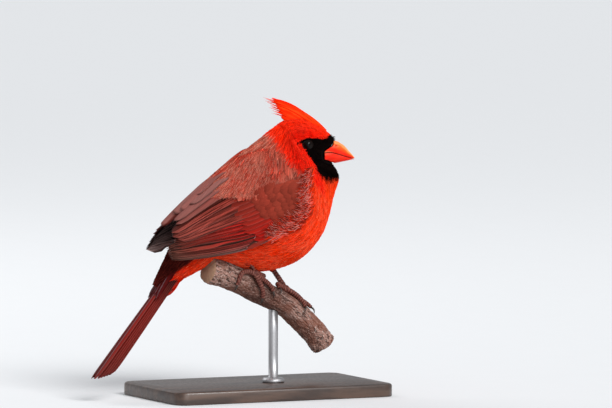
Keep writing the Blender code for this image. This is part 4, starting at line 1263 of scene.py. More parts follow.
class CARDINAL_OT_coat(Operator):
    """Lays the small feathers and their loose strands over the body, in tufts that follow its lie"""

    bl_idname = "cardinal.coat"
    bl_label = "Coat"

    def execute(self, context):
        plumage = settings().plumage
        for kind, lay_kind in (("feathers", self.contour_feathers), ("strands", self.barb_strands)):
            groups = [Leaves() for _ in range(2 * len(REGION_NAMES))]
            lay_kind(groups, plumage)
            for index, leaves in enumerate(groups):
                if leaves.parts:
                    side = ("right", "left")[index % 2]
                    piece = leaves.finish(f"coat_{kind}_{REGION_NAMES[index // 2]}_{side}")
                    cover(piece, body_feathers, "body_plumage")
        return {"FINISHED"}

    def contour_feathers(self, groups, plumage):
        place = scattered(plumage.feathers * TRIES, 11, lambda at: 1.0 + 3.0 * eased((at - 10) / 4))
        roots = Roots(*place, 17)
        roots.keep(~covered_by_wing(roots.points))
        roots.keep(spaced(roots.at, roots.angle, roots.gap * 0.72))
        roots.keep(~in_eye(roots.points, 3.1))
        roots.dye(0.07, 0.3)
        low = np.interp(roots.at, COAT_STATIONS, (-1.35, -1.2, -0.75, -0.7))
        high = np.interp(roots.at, COAT_STATIONS, (-0.25, -0.2, -0.12, -0.12))
        roots.lay(groups, lambda region: leaf_shape(CONTOUR, 5, 3, 0.4 if region > 1 else 0.2, 0.16),
                  (low, high), 230)

    def barb_strands(self, groups, plumage):
        place = scattered(plumage.strands, 29, lambda at: 1.0 + 2.6 * eased((at - 9.5) / 3))
        roots = Roots(*place, 31)
        roots.keep(~covered_by_wing(roots.points) & ~in_eye(roots.points, 3.0))
        rng = roots.rng
        count = len(roots.at)
        roots.reach = roots.reach * rng.uniform(0.55, 0.95, count)
        roots.half = np.interp(roots.at, (0, 9, 14), (0.21, 0.19, 0.14)) * rng.uniform(0.7, 1.4, count)
        roots.lean = roots.lean + 0.12 * rng.normal(size=count)
        roots.dye(0.30, 0.85)
        high = np.interp(roots.at, COAT_STATIONS, (0.30, 0.25, 0.05, 0.0)) + 0.12 * rng.normal(size=count)
        shape = leaf_shape(STRAND, 3, 3, 0.10, 0.12)
        roots.lay(groups, lambda region: shape, (np.full(count, -0.6), high), 410)


def in_eye(points, radius):
    """Whether places lie in the opening of an eye."""
    x, y, z = head_place(points).T
    return (np.hypot(x - EYE_PLACE[0], (z - EYE_PLACE[1]) / 0.92) < radius) & (np.abs(y) > 5)


def tip_colours(at, angle, tint, strength, rng):
    """Gray-pink or darker tips on the back, and paler or deeper ones on the breast and head."""
    plumage = settings().plumage
    a = np.abs(np.degrees(angle))
    low = eased((a - np.interp(at, BREAST_AT, BREAST_ANGLES)) / 9 + 0.5)
    hood = eased((at - np.interp(a, HOOD_ANGLES, HOOD_AT)) / 0.5 + 0.5)
    dull = (1 - low) * (1 - hood)
    chance = rng.random(len(at))
    tips = mixed(tint, plumage.mantle_streak, strength * dull * (chance > 0.6) * eased((at - 2.4) / 1.0))
    tips = mixed(tips, plumage.mantle_dark, strength * dull * (chance < 0.28))
    tips = mixed(tips, plumage.breast_pale, strength * 0.85 * low * (1 - hood) * (chance > 0.68))
    tips = mixed(tips, plumage.flank, strength * 0.8 * low * (1 - hood) * (chance < 0.24))
    black = tint.sum(axis=1) < 0.05
    tips = mixed(tips, plumage.breast_pale, strength * 0.25 * hood * (chance > 0.7) * ~black)
    return tips


# A wing feather's width at shares of its length
ROUND_TIP = ((0.0, 0.45), (0.3, 0.95), (0.7, 1.0), (0.88, 0.93), (0.95, 0.76), (0.985, 0.5), (1.0, 0.16))
BLUNT_TIP = ((0.0, 0.5), (0.4, 1.0), (0.8, 0.95), (0.92, 0.75), (0.98, 0.45), (1.0, 0.14))
NARROW_TIP = ((0.0, 0.6), (0.4, 1.0), (0.75, 0.86), (0.9, 0.58), (0.97, 0.34), (1.0, 0.1))

PRIMARIES = 9
SECONDARIES = 9
GREAT_COVERTS = 13
PRIMARY_COVERTS = 4
# Each tertial's reach, degrees of its root and tip, width, and how pale and high it is
TERTIALS = (
    (97.0, 70, 58, 10.5, 0.0), (98.5, 58, 46, 11.5, 0.0), (97.0, 45, 35, 11.5, 0.0),
    (91.5, 34, 25, 10.0, 0.5), (90.5, 23, 14, 12.5, 0.8), (76.0, 14, 10, 13.5, 1.0),
    (68.0, 4, 4, 9.0, 0.8),
)
# Each row of small coverts: its distance along the wing, the degrees of its two ends, and its feathers
SMALL_COVERTS = (
    (33.0, 53, 84, 8), (28.5, 56, 91, 9), (24.0, 60, 96, 9), (19.5, 65, 97, 8), (15.0, 69, 95, 8),
    (11.0, 71, 88, 6),
)
# The front edge of the folded wing, where the breast's feathers lie over it, as distances and degrees
WING_BEND = ((6, 70), (10, 76), (13, 81), (16, 88), (19, 95), (25, 99), (33, 100), (40, 101), (46, 103))
# The mantle's lower edge over the wing as distances and degrees, and how far back the hood's edge lies
MANTLE_LENGTH = 56
MANTLE_EDGE = ((0, 58), (8, 62), (12, 66), (20, 62), (30, 56), (37, 50), (43, 44), (54, 28), (60, 14))
MANTLE_FRONT = ((0, 28), (12, 22), (26, 15), (38, 14), (52, 13.5), (64, 10.5), (72, 6))
MANTLE_REACH = 9.5
# The folded arm's upper and lower edges, as distances and degrees
ARM_STEPS = (2, 8, 16, 30, 44, 56)
ARM_TOP = (60, 40, 26, 16, 8, 5)
ARM_LOW = (84, 91, 97, 102, 104, 102)
ARM_THICKNESS = 3.6
# How the wing's places lie on the map of leaf patches
WING_MAP_LENGTH = WING_LENGTH + 6.0
WING_MAP_TURN = 0.9


def on_wing(along, height):
    """A place on the wing at a distance and a height over its axis."""
    return along, wing_angle(along, height)[0]


class WingLeaves(Leaves):
    """Leaves that lie on one folded wing."""

    def __init__(self, side):
        super().__init__()
        self.side = side
        self.far = side > 0

    def map_place(self, along, angle):
        return along / WING_MAP_LENGTH, angle * self.side * WING_MAP_TURN

    def one(self, root, tip, width, base, step, tones, outline, bend, detail=(14, 7), ridge=0.25, chance=0.5,
            web_from=-0.15, sunk=0.0, rim=0.0):
        """One feather: root and tip are (distance, angle), and its lower edge stands up by a step.

        tones are the colours of its lower web at root and tip, and of its upper web.
        """
        u, w, height, flat = leaf_shape(outline, *detail, ridge, settings().wings.vane / MM)
        share = u[:, :1]
        along = root[0] + (tip[0] - root[0]) * share
        middle = root[1] + (tip[1] - root[1]) * share + math.radians(bend) * np.sin(math.pi * share)
        angle = middle + 0.5 * width * w / wing_radian(along.ravel(), middle.ravel(), self.side)[:, None]
        lift = base + step * 0.5 * (1 + flat) + height - sunk * (1 - eased(u / 0.5))
        along = np.broadcast_to(along, angle.shape)
        places, _ = wing_over(along.ravel(), angle.ravel(), lift.ravel(), self.side)
        low_root, low_tip, upper = (rgb(tone) for tone in tones)
        mix = u[..., None] ** 1.3
        # The upper web takes the dark tone: partly the web's own colour, partly painted shade where it tucks
        # under the next feather
        web = eased((flat - web_from) / 0.22)[..., None]
        tint = upper * (1 - web) + (low_root * (1 - mix) + low_tip * mix) * web
        # Painted shade: rim darkens each leaf's edges and end, for the shadow outline round the tertials'
        # pale lobes
        edge = np.maximum(eased((np.abs(flat) - 0.78) / 0.2), eased((u - 0.95) / 0.04))
        tint = tint * (1 - rim * edge[..., None])
        # Painted light: each leaf's underside is mostly the pale inner tone, which lifts it out of the wings'
        # shade
        under = np.arange(u.shape[1]) >= detail[1]
        tint[:, under] = 0.15 * tint[:, under] + 0.85 * rgb(settings().wings.inner)
        self.add_one(places, tint, u, flat, chance, self.map_place(*root))

    def many(self, along, angle, lean, reach, half, shape, rise, colours, seed, curl=0.0):
        """Many small feathers from roots on the wing."""
        def over(s, g, lift):
            return wing_over(s, g, lift, self.side)

        steps = np.ones(len(along)), 1 / wing_radian(along, angle, self.side)
        lay(self, over, (along, angle), steps, lean, reach, half, shape, rise, colours,
            self.map_place(along, angle), seed, curl)


class CARDINAL_OT_wings(Operator):
    """Builds both folded wings: flight feathers, tertials, tiers of coverts and scapulars"""

    bl_idname = "cardinal.wings"
    bl_label = "Wings"

    def execute(self, context):
        for name, side in SIDES:
            quills, coverts, strands = (WingLeaves(side) for _ in range(3))
            self.flight(quills)
            self.tertials(quills, coverts)
            self.coverts(coverts)
            self.small_coverts(coverts)
            scapular = leaf_shape(BLUNT_TIP, 6, 5, 0.35, 0.2)
            self.mantle(coverts, 420, 1.9, 0.06, scapular, (1.0, 1.9), 71, 0.25)
            self.arm(coverts)
            strand = leaf_shape(STRAND, 3, 3, 0.10, 0.12)
            self.mantle(strands, 9500, 0.2, 0.5, strand, (1.4, 2.3), 73, 0.85)
            self.bend_fringe(strands)
            cover(quills.finish("quills_" + name), wing_quills, "wing_feathers", "wing_" + name)
            cover(coverts.finish("coverts_" + name), wing_coverts, "wing_feathers", "wing_" + name)
            cover(strands.finish("mantle_strands_" + name), body_feathers, "wing_feathers")
        return {"FINISHED"}

    def flight(self, leaves):
        """Primaries below and secondaries over them, each one's lower web showing under the next."""
        wings = settings().wings
        for i in range(PRIMARIES):
            share = i / (PRIMARIES - 1)
            reach = WING_LENGTH - 3.5 * (1 - share) ** 1.6 - (4.0 + 5.0 * leaves.far) * share
            height = -3.4 * (1 - share) ** 1.5 - 2.2 + 3.8 * share + 4.6 * leaves.far * (1 - share)
            red = blend(wings.panel, rgb(wings.edge) * 0.6, 0.9 * (1 - share) ** 3)
            leaves.one(on_wing(40.0, -18.5 + 9.0 * share), on_wing(reach, height), 5.6, 0.0, 1.0,
                       (red, wings.primary, wings.dark), NARROW_TIP, 1.5, chance=0.37 * i % 1, web_from=0.35)
        for i in range(SECONDARIES):
            share = i / (SECONDARIES - 1)
            tip = on_wing(103.0 - 8.0 * share, 0.4 + 6.4 * share + 1.4 * leaves.far * (1 - share))
            tone = blend(wings.panel, wings.secondary, 0.1 + 0.3 * share) * (1.8 - 0.8 * share)
            brown = blend(wings.primary, wings.secondary, 0.3 + 0.5 * share)
            leaves.one(on_wing(36.0, -9.5 + 13.0 * share), tip, 6.2, 0.35 + 0.02 * i, 1.1,
                       (tone, brown, wings.dark), ROUND_TIP, 0.5, chance=0.61 * i % 1,
                       web_from=0.5 - 0.15 * share)

    def tertials(self, quills, coverts):
        """The innermost flight feathers, each over the one below it, with broad rounded ends."""
        wings = settings().wings
        for number, (reach, low, high, width, pale) in enumerate(TERTIALS):
            past = max(0, number - 3) * quills.far
            share = number / (len(TERTIALS) - 1)
            end = blend(wings.tertial, wings.lobe, 0.25 + 0.75 * pale)
            tone = blend(wings.greater, end, 0.2 + 0.8 * pale)
            inner = blend(wings.secondary, wings.dark, 0.6 - 0.4 * share)
            leaves = coverts if pale else quills
            leaves.one((38.0, math.radians(low)), (reach + 4.5 * past, math.radians(high - 4.0 * past)),
                       width, 1.0 + 0.14 * number, 1.3 + 0.9 * pale, (tone, end, inner), ROUND_TIP, -1.0,
                       (24, 13), 0.35, chance=0.3 + 0.1 * number, web_from=0.1 - 0.9 * pale,
                       sunk=1.5 + 0.9 * share, rim=0.75 * pale)

    def coverts(self, leaves):
        """Great coverts over the secondaries, and primary coverts below them."""
        wings = settings().wings
        for i in range(GREAT_COVERTS):
            share = i / (GREAT_COVERTS - 1)
            root = (26.0 + 4 * share, wing_angle(28.0, -15.0 + 27.0 * share)[0])
            tip = on_wing(56.0 + 9.0 * share + 2.5 * math.sin(5.0 * i), -14.5 + 28.0 * share)
            low = blend(wings.panel, wings.greater, 0.1 + 1.2 * share) * (1.3 - 0.5 * share)
            inner = blend(low, wings.secondary, 0.6)
            leaves.one(root, tip, 5.6, 1.1, 0.95, (low, low * 0.9, inner), BLUNT_TIP, 0, (12, 7),
                       chance=0.53 * i % 1, web_from=0.3)
        for i in range(PRIMARY_COVERTS):
            share = i / (PRIMARY_COVERTS - 1)
            reach = 62.0 - 18.0 * share
            tip = on_wing(reach, -17.6 + 2.2 * share + 1.8 * leaves.far)
            leaves.one(on_wing(reach - 27.0, -14.5), tip, 4.8, 0.9 + 0.3 * i, 0.8,
                       (wings.panel, wings.tertial, wings.dark), BLUNT_TIP, 0, (10, 5), chance=0.4 + 0.1 * i)

    def small_coverts(self, leaves):
        """The smooth patch of median and small coverts at the bend."""
        wings = settings().wings
        rng = np.random.default_rng(61 + leaves.far)
        for row, (start, top, low, count) in enumerate(SMALL_COVERTS):
            place = (np.arange(count) + 0.5 * (row % 2) + 0.06 * rng.normal(size=count)) / (count - 0.5)
            along = start + 2.2 * (1 - place) * (row < 2) + 0.3 * rng.normal(size=count)
            tone = rgb(wings.lesser) * np.exp(0.05 * rng.normal(size=(count, 1)))
            tone = mixed(tone, wings.greater, np.full(count, 0.25 * (row < 2)))
            lean = 0.05 * rng.normal(size=count)
            reach, half, root_rise, tip_rise = (np.full(count, v) for v in (13.0, 3.3, 1.3, 2.4 + 0.08 * row))
            angle = np.radians(top + (low - top) * place)
            leaves.many(along, angle, lean, reach, half, leaf_shape(BLUNT_TIP, 9, 7, 0.4, 0.3),
                        (root_rise, tip_rise), (tone * 1.4, tone * 0.8), 63 + row)

    def mantle(self, leaves, count, half_width, spread, shape, heights, seed, streaks):
        """The back's feathers or strands that run out over the wing, streaked as the back is."""
        plumage = settings().plumage
        rng = np.random.default_rng(seed + leaves.far)
        along = rng.uniform(0, MANTLE_LENGTH, count)
        angle = np.radians(np.interp(along, *zip(*MANTLE_EDGE))) * rng.random(count) ** 0.72
        front = np.interp(np.degrees(angle), *zip(*MANTLE_FRONT))
        sunk = 1.9 * eased(1 - along / 10)
        along = along + front * (1 - along / MANTLE_LENGTH)
        angle = np.maximum(angle, np.radians(np.interp(along, (10, 16, 30), (20, 12, 0))))
        chance = rng.random(count)
        patchy = np.sin(0.31 * along + 5.0 * angle + 1.0) * np.sin(0.19 * along - 7.0 * angle)
        redder = eased(patchy + 0.45)
        tone = mixed(rows_of(plumage.mantle, count), plumage.mantle_red, 0.75 * redder)
        tone = tone * np.exp(spread * rng.normal(size=(count, 1)))
        tip = mixed(tone, plumage.mantle_streak, streaks * (chance > 0.62))
        tip = mixed(tip, plumage.mantle_dark, streaks * (chance < 0.40))
        reach = rng.uniform(0.75, 1.15, count) * MANTLE_REACH
        lean = np.interp(along, (10, 30, 50), (0.75, 0.5, 0.25)) + 0.16 * rng.normal(size=count)
        gain = heights[1] - heights[0]
        base = np.interp(along, (30, 48), (0, 0.9)) + heights[0] + gain * 0.3 * rng.random(count)
        half = half_width * rng.uniform(0.8, 1.2, count)
        # Painted shade: the roots are drawn darker than the tips, for depth between the feathers
        leaves.many(along, angle, lean, reach, half, shape, (base - sunk, base + gain - 0.3 * sunk),
                    (tone * 0.8, tip), seed, 0.4)

    def bend_fringe(self, leaves):
        """Loose pale-tipped strands of the breast's side that spring over the bend of the wing."""
        plumage = settings().plumage
        rng = np.random.default_rng(55 + leaves.far)
        count = 2400
        share = rng.random(count)
        edge = share * (len(WING_BEND) - 1)
        along, angle = through(WING_BEND, edge).T
        ahead = 3.0 + 1.6 * rng.normal(size=count)
        lean = np.interp(share, (0, 0.4, 0.7, 1), (0.15, -0.25, -0.75, -0.6))
        along = along - ahead * np.cos(lean) - 3.0
        angle = np.radians(angle) - ahead * np.sin(lean) / 24
        chance = rng.random(count)
        # Painted shade: many strands are dark towards the root, for the dark gaps behind the pale tips
        root = mixed(rows_of(plumage.breast, count), plumage.mantle_dark, 0.9 * (chance > 0.56))
        tip = mixed(root, plumage.fringe, (chance < 0.32) * rng.uniform(0.4, 1.0, count))
        lean = lean + 0.22 * rng.normal(size=count)
        high = rng.uniform(2.6, 4.6, count)
        reach, half = rng.uniform(6.0, 10.5, count), rng.uniform(0.10, 0.22, count)
        leaves.many(along, angle, lean, reach, half, leaf_shape(STRAND, 5, 3, 0.12, 0.14),
                    (np.full(count, 1.0), high), (root, tip), 57, 1.0)

    def arm(self, leaves):
        """The folded arm under the coverts, a closed form that keeps light out between them."""
        steps, across = 16, 14
        along = np.linspace(14, 56, steps)[:, None]
        top, low = (np.radians(lookup(ARM_STEPS, edge, along[:, 0]))[:, None] for edge in (ARM_TOP, ARM_LOW))
        k = np.linspace(0, 1, across)
        angles = top + (low - top) * k
        swell = 1.2 * np.sin(math.pi * np.clip((along - 13) / 43, 0, 1) ** 0.7) * np.sin(math.pi * k) ** 0.5
        swell = swell - 0.2 - 2.6 * (1 - eased((along - 14) / 9)) * (1 - k) ** 0.5
        around = np.concatenate([angles, angles[:, ::-1]], axis=1)
        lift = np.concatenate([swell, np.full(swell.shape, -ARM_THICKNESS)], axis=1)
        s = np.broadcast_to(along, around.shape)
        places, _ = wing_over(s.ravel(), around.ravel(), lift.ravel(), leaves.side)
        patch = patches(*leaves.map_place(along, around), 0, 0)
        leaves.add(places.reshape(1, steps, 2 * across, 3), rgb(settings().wings.lesser) * 0.7, 0.3, patch)


TAIL_OUTLINE = ((0.0, 0.6), (0.25, 0.9), (0.55, 1.0), (0.85, 1.0), (0.93, 0.92), (0.97, 0.74), (0.99, 0.5),
                (1.0, 0.22))
TAIL_COVERTS = 46


class CARDINAL_OT_tail(Operator):
    """Builds the folded tail: twelve feathers that fan from one root, and its coverts"""

    bl_idname = "cardinal.tail"
    bl_label = "Tail"

    def execute(self, context):
        leaves = Leaves()
        for pair in reversed(range(TAIL_PAIRS)):
            for side in (-1, 1):
                self.feather(leaves, side, pair)
        self.coverts(leaves)
        cover(leaves.finish("tail_feathers"), tail_vanes, "tail_feathers", "tail")
        return {"FINISHED"}

    def feather(self, leaves, side, pair):
        wings = settings().wings
        u, w, height, flat = leaf_shape(TAIL_OUTLINE, 24, 9, 0.25, wings.vane / MM)
        top = pair == 0 and side < 0
        reach = TAIL_LENGTH - 1.3 * pair ** 1.05
        lift = TAIL_STEP * (0.45 if top else -pair)
        along = -5.0 + (reach + 5.0) * u
        spread = np.clip(along / TAIL_LENGTH, 0, 1)
        outer = (4.6 + 0.5 * pair) * (1 - spread) + (6.2 + 1.1 * pair) * spread
        inner = np.maximum(-1.8 if top else 0.4, outer - TAIL_FEATHER_WIDTH)
        y = 0.5 * (outer + inner) + 0.5 * (outer - inner) * w
        places = tail_points(along.ravel(), side * y.ravel(), (lift + height - TAIL_ARCH * np.abs(y)).ravel())
        # Painted shade: each tail feather darkens to maroon towards its root, under the wings
        base = eased((30 - along) / 26)[..., None]
        end = eased((along - 55) / 30)[..., None]
        # Painted shade: the inner half of each vane, where it lies under the feathers above it, is drawn at
        # half brightness
        web = eased((flat + 0.1) / 0.5)[..., None]
        tone = rgb(wings.tail) * (1 - end) + rgb(wings.tail_tip) * end
        tone = tone * (1 - base) + rgb(wings.tail_base) * base
        tone = tone * web + 0.5 * tone * (1 - web)
        map_place = (0.02 + 0.03 * (pair + 0.5 * (side > 0)), 2.9)
        leaves.add_one(places, tone, u, flat, (0.37 * pair + 0.2 * side) % 1, map_place)

    def coverts(self, leaves):
        """Short feathers over and under the root of the tail."""
        # The upper coverts take the same painted shade, a little lighter
        upper_tone = rgb(settings().wings.tail_base) * 1.6
        under_tone = rgb(settings().plumage.undertail)
        rng = np.random.default_rng(83)
        low = -TAIL_STEP * (TAIL_PAIRS - 1) - 0.6
        u, w, height, flat = leaf_shape(BLUNT_TIP, 8, 5, 0.3, 0.25)
        for upper in (True, False):
            for _ in range(TAIL_COVERTS):
                start = rng.uniform(-9, 9)
                along = start + (rng.uniform(13, 18) - 4.5 * (not upper)) * u
                y = rng.uniform(-5.5, 5.5) * (1 + 0.25 * u) + 2.6 * w
                rise = 1.5 + 0.8 * rng.random() + height - 1.3 * u - 0.02 * start
                up = (rise if upper else low + 0.7 - rise) - TAIL_ARCH * np.abs(y)
                tone = np.minimum((upper_tone if upper else under_tone) * math.exp(0.15 * rng.normal()), 1)
                places = tail_points(along.ravel(), y.ravel(), up.ravel())
                chance = rng.random()
                map_place = (0.01 + 0.01 * rng.random(), 0.1 if upper else 3.0)
                leaves.add_one(places, tone, u, flat, chance, map_place)


CREST_OUTLINE = ((0.0, 0.7), (0.3, 1.0), (0.7, 0.8), (1.0, 0.08))
WISPS = 22
BRISTLES = 90
# Where the black bristles over the bill stand, from the head's centre as x and z
TUFT_PLACE = (17.6, 6.0)


def crest_line(low, at):
    """Places on the crest's side face: low is 0 on its highest feather and 1 on its lowest."""
    return (1 - low) * through(CREST_HIGH, at) + low * through(CREST_LOW, at)


class CARDINAL_OT_crest(Operator):
    """Builds the crest from long narrow leaves, with thin wisps behind it"""

    bl_idname = "cardinal.crest"
    bl_label = "Crest"

    def execute(self, context):
        wings = settings().wings
        leaves = Leaves()
        rng = np.random.default_rng(91)
        last = len(CREST_HIGH) - 1
        for _ in range(wings.crest_strands):
            low = rng.random() ** 0.9
            start = last * (0.02 + 0.62 * rng.random() ** 1.2)
            end = min(last * (0.99 - 0.22 * low * rng.random()), start + last * rng.uniform(0.36, 0.62))
            place = rng.uniform(-1, 1)
            wide = rng.uniform(0.7, 1.25)
            bright = self.red(rng)
            bright = np.minimum(bright * math.exp(0.12 * rng.normal()), 1)
            self.strand(leaves, rng, low, start, end, place, wide, bright, 0.0)
        for index in range(WISPS):
            low = 0.04 + 0.9 * (index / (WISPS - 1)) ** 1.3
            reach = last * (0.99 + 0.12 * math.sin(2.4 * index) ** 2 * (index > 1) + 0.16 * low)
            tone = self.red(rng)
            place, wide = rng.uniform(-0.5, 0.5), rng.uniform(0.26, 0.42)
            self.strand(leaves, rng, low, last * 0.55, reach, place, wide, tone, 1.1 * math.sin(1.9 * index))
        self.tuft(leaves, rng)
        cover(leaves.finish("crest_feathers"), crest_strands, "body_plumage", "head")
        return {"FINISHED"}

    def red(self, rng):
        return blend(settings().plumage.crown, settings().wings.crest_light, rng.random())

    def tuft(self, leaves, rng):
        """Short black bristles that stand up over the root of the bill."""
        dark = rgb(settings().plumage.mask)
        u, w, height, flat = leaf_shape(STRAND, 5, 3, 0.15, 0.16)
        for place in np.linspace(-1, 1, BRISTLES):
            x, z = TUFT_PLACE[0] + rng.uniform(-1.6, 0.8), TUFT_PLACE[1] + rng.uniform(-3.2, 0.6)
            turn = rng.uniform(-0.1, 1.1)
            long = rng.uniform(2.2, 3.6)
            along = x + long * u * math.cos(turn) - 0.3 * w * math.sin(turn)
            up = z + long * u * math.sin(turn) - 0.7 * u * u + 0.3 * w * math.cos(turn)
            across = 2.6 * place * (1 - 0.4 * u) + height
            places = head_points(along.ravel(), across.ravel(), up.ravel())
            leaves.add_one(places, dark, u, flat, rng.random(), (0.97, 0.15 * place))

    def strand(self, leaves, rng, low, start, end, place, wide, tone, stray):
        """One leaf or wisp: low, start and end say where it runs, and place which side it is on."""
        u, w, height, flat = leaf_shape(CREST_OUTLINE, 9, 3, 0.25, 0.16)
        share = u[:, 0]
        at = start + (end - start) * share
        last = len(CREST_HIGH) - 1
        inner = np.minimum(at, last)
        line = crest_line(low, inner)
        ahead = line - crest_line(low, inner - 0.2)
        line = line + ahead / 0.2 * np.maximum(at - last, 0)[:, None]
        ahead = unit(ahead)
        over = np.stack([ahead[:, 1], -ahead[:, 0]], axis=1)
        over[over[:, 1] < 0] *= -1
        line = line - over * (0.3 * (1 - low)) + over * (stray * share ** 2)[:, None]
        sign = np.sign(place or 1)
        middle = place * CREST_SPREAD * (0.3 + 0.7 * low) * (1 - 0.55 * at / last)
        y = middle + sign * (0.55 + 0.35 * share) * (1 - 0.5 * share)
        across = line[:, None, :] + over[:, None, :] * (wide * w)[..., None]
        sideways = y[:, None] + sign * height
        places = head_points(across[..., 0].ravel(), sideways.ravel(), across[..., 1].ravel())
        map_place = ((12 + 4 * (1 - start / last)) / FACE_AT, 0.12 * place)
        leaves.add_one(places, tone, u, flat, rng.random(), map_place)


NOSTRIL_PLACE = (21.6, 1.9)
# The bill's ridge and the line of the mouth, as x and z from the head's centre
BILL_RIDGE = ((9, 6.3), (20.4, 4.7), (24.1, 3.1), (26.9, 1.1), (29.3, -1.7), (31.3, -3.9), (33, -6))
MOUTH_LINE = ((8, -4.9), (12.6, -3.1), (16, -2.3), (19.4, -2.6), (23.4, -3.7), (28.2, -5.3), (33, -6.6))
# Painted highlight: the orange of the upper half's middle, leading up to the paler ridge
BILL_MIDDLE_HIGHLIGHT = (0.90, 0.075, 0.004)
BILL_ROOT = (0.55, 0.21, 0.08)
# Painted highlight on the lower half of the bill, below the gape
BILL_LIP_HIGHLIGHT = (0.92, 0.13, 0.07)


class CARDINAL_OT_bill(Operator):
    """Makes both halves of the bill smooth horn, with highlights painted along the ridge and on the lower
    half, and dark along the gape
    """

    bl_idname = "cardinal.bill"
    bl_label = "Bill"

    def execute(self, context):
        for half in ("upper", "lower"):
            piece = cad_copy("bill_" + half, "horn_" + half)
            remeshed(piece, 0.00028, 6, 0.6)
            x, y, z = head_place(pushed_out(piece, 0.16)).T
            base = eased((17.5 - x) / 7.0)
            y = y * (1 + 0.22 * base)
            if half == "lower":
                z = z - 2.2 * base * np.clip((-3.0 - z) / 3.0, 0, 1)
            move_corners(piece, head_points(x, y, z))
            store(piece, "tint", "FLOAT_COLOR", self.tint(half, x, z, waves(corners(piece), 6.0, 9)))
            cover(piece, bill_horn, "bill", "bill_" + half)
        return {"FINISHED"}

    def tint(self, half, x, z, noise):
        bare = settings().bare
        tone = rows_of(bare.bill, len(x))
        ridge = np.interp(x, *zip(*BILL_RIDGE))
        mouth = np.interp(x, *zip(*MOUTH_LINE))
        if half == "upper":
            # Painted highlight: the upper half turns orange and then pale towards the ridge, where the light
            # falls
            up = np.clip((z - mouth) / np.maximum(ridge - mouth, 0.5), 0, 1) + 0.08 * noise
            tone = mixed(tone, BILL_MIDDLE_HIGHLIGHT, eased((up - 0.30) / 0.35))
            tone = mixed(tone, bare.bill_ridge, eased((up - 0.62) / 0.3) * 0.9)
            tone = mixed(tone, BILL_ROOT, eased(1.2 - (z - mouth)) * eased((20 - x) / 4) * 0.7)
            hole = np.hypot((x - NOSTRIL_PLACE[0]) / 1.1, z - NOSTRIL_PLACE[1])
            tone = mixed(tone, bare.bill_line, eased((1.1 - hole) / 0.5) * 0.4)
        else:
            # Painted highlight on the lower half below the gape; the whole lower half is also drawn a little
            # darker
            lip_highlight = eased(z - mouth + 2.2) * eased((mouth - 0.5 - z) / 0.6) * eased((20 - x) / 5)
            tone = mixed(tone, BILL_LIP_HIGHLIGHT, lip_highlight * 0.5) * 0.92
        return mixed(tone, bare.bill_line, eased((0.42 - np.abs(z - mouth + 0.1)) / 0.3) * 0.9)


class CARDINAL_OT_eyes(Operator):
    """Makes the wet dark eyes, with iris and pupil, and the bare lids round them"""

    bl_idname = "cardinal.eyes"
    bl_label = "Eyes"

    def execute(self, context):
        for name, side in SIDES:
            centre = head_points(EYE_PLACE[0], side * EYE_OUT, EYE_PLACE[1])[0]
            deselect()
            bpy.ops.mesh.primitive_uv_sphere_add(
                segments=64, ring_count=40, radius=EYE_RADIUS * MM, location=tuple(centre * MM))
            eye = bpy.context.object
            eye.name = eye.data.name = "eyeball_" + name
            bpy.ops.object.transform_apply(location=True, rotation=True, scale=True)
            outward = unit(head_points(0, side, 0) - head_points(0, 0, 0))[0]
            offset = corners(eye) - centre
            out = offset @ outward
            ring = np.linalg.norm(offset - out[:, None] * outward, axis=1)
            swell = np.where(out > 0, 0.25 * np.exp(-(ring / 1.9) ** 2), 0)
            move_corners(eye, corners(eye) + swell[:, None] * outward)
            bpy.ops.object.shade_smooth()
            store(eye, "iris", "FLOAT", eased((ring - PUPIL_RADIUS) / 0.2) * (out > 0))
            cover(eye, eye_wet, "eyes", "eye_" + name)
            self.lid(name, side)
        return {"FINISHED"}

    def lid(self, name, side):
        """A soft double fold of skin round the opening, drawn to a point at the rear corner."""
        turns, sides = 72, 14
        t = np.linspace(0, 2 * math.pi, turns, endpoint=False)[:, None]
        a = np.linspace(0, 2 * math.pi, sides, endpoint=False)[None, :]
        thick = 0.28 + 0.06 * np.cos(t) ** 2 + 0.03 * np.sin(9 * t)
        corner = 0.35 * np.exp(-((t - math.pi) / 0.35) ** 2)
        reach = LID_OPENING + corner + thick * np.cos(a)
        x = reach * np.cos(t)
        z = 0.88 * reach * np.sin(t)
        out = EYE_OUT + 2.62 + LID_TILT[0] * x + LID_TILT[1] * z + thick * np.sin(a) - 0.25 * corner
        points = head_points((EYE_PLACE[0] + x).ravel(), (side * out).ravel(), (EYE_PLACE[1] + z).ravel())
        ring = np.arange(turns)[:, None]
        quads = ring_quads(ring * sides, (ring + 1) % turns * sides, sides)
        lid = mesh_object("lid_" + name, points, quads.ravel(), np.full(turns * sides, 4))
        edit_whole(lid, bpy.ops.mesh.normals_make_consistent, inside=False)
        bpy.ops.object.shade_smooth()
        cover(lid, lid_skin, "body_plumage")


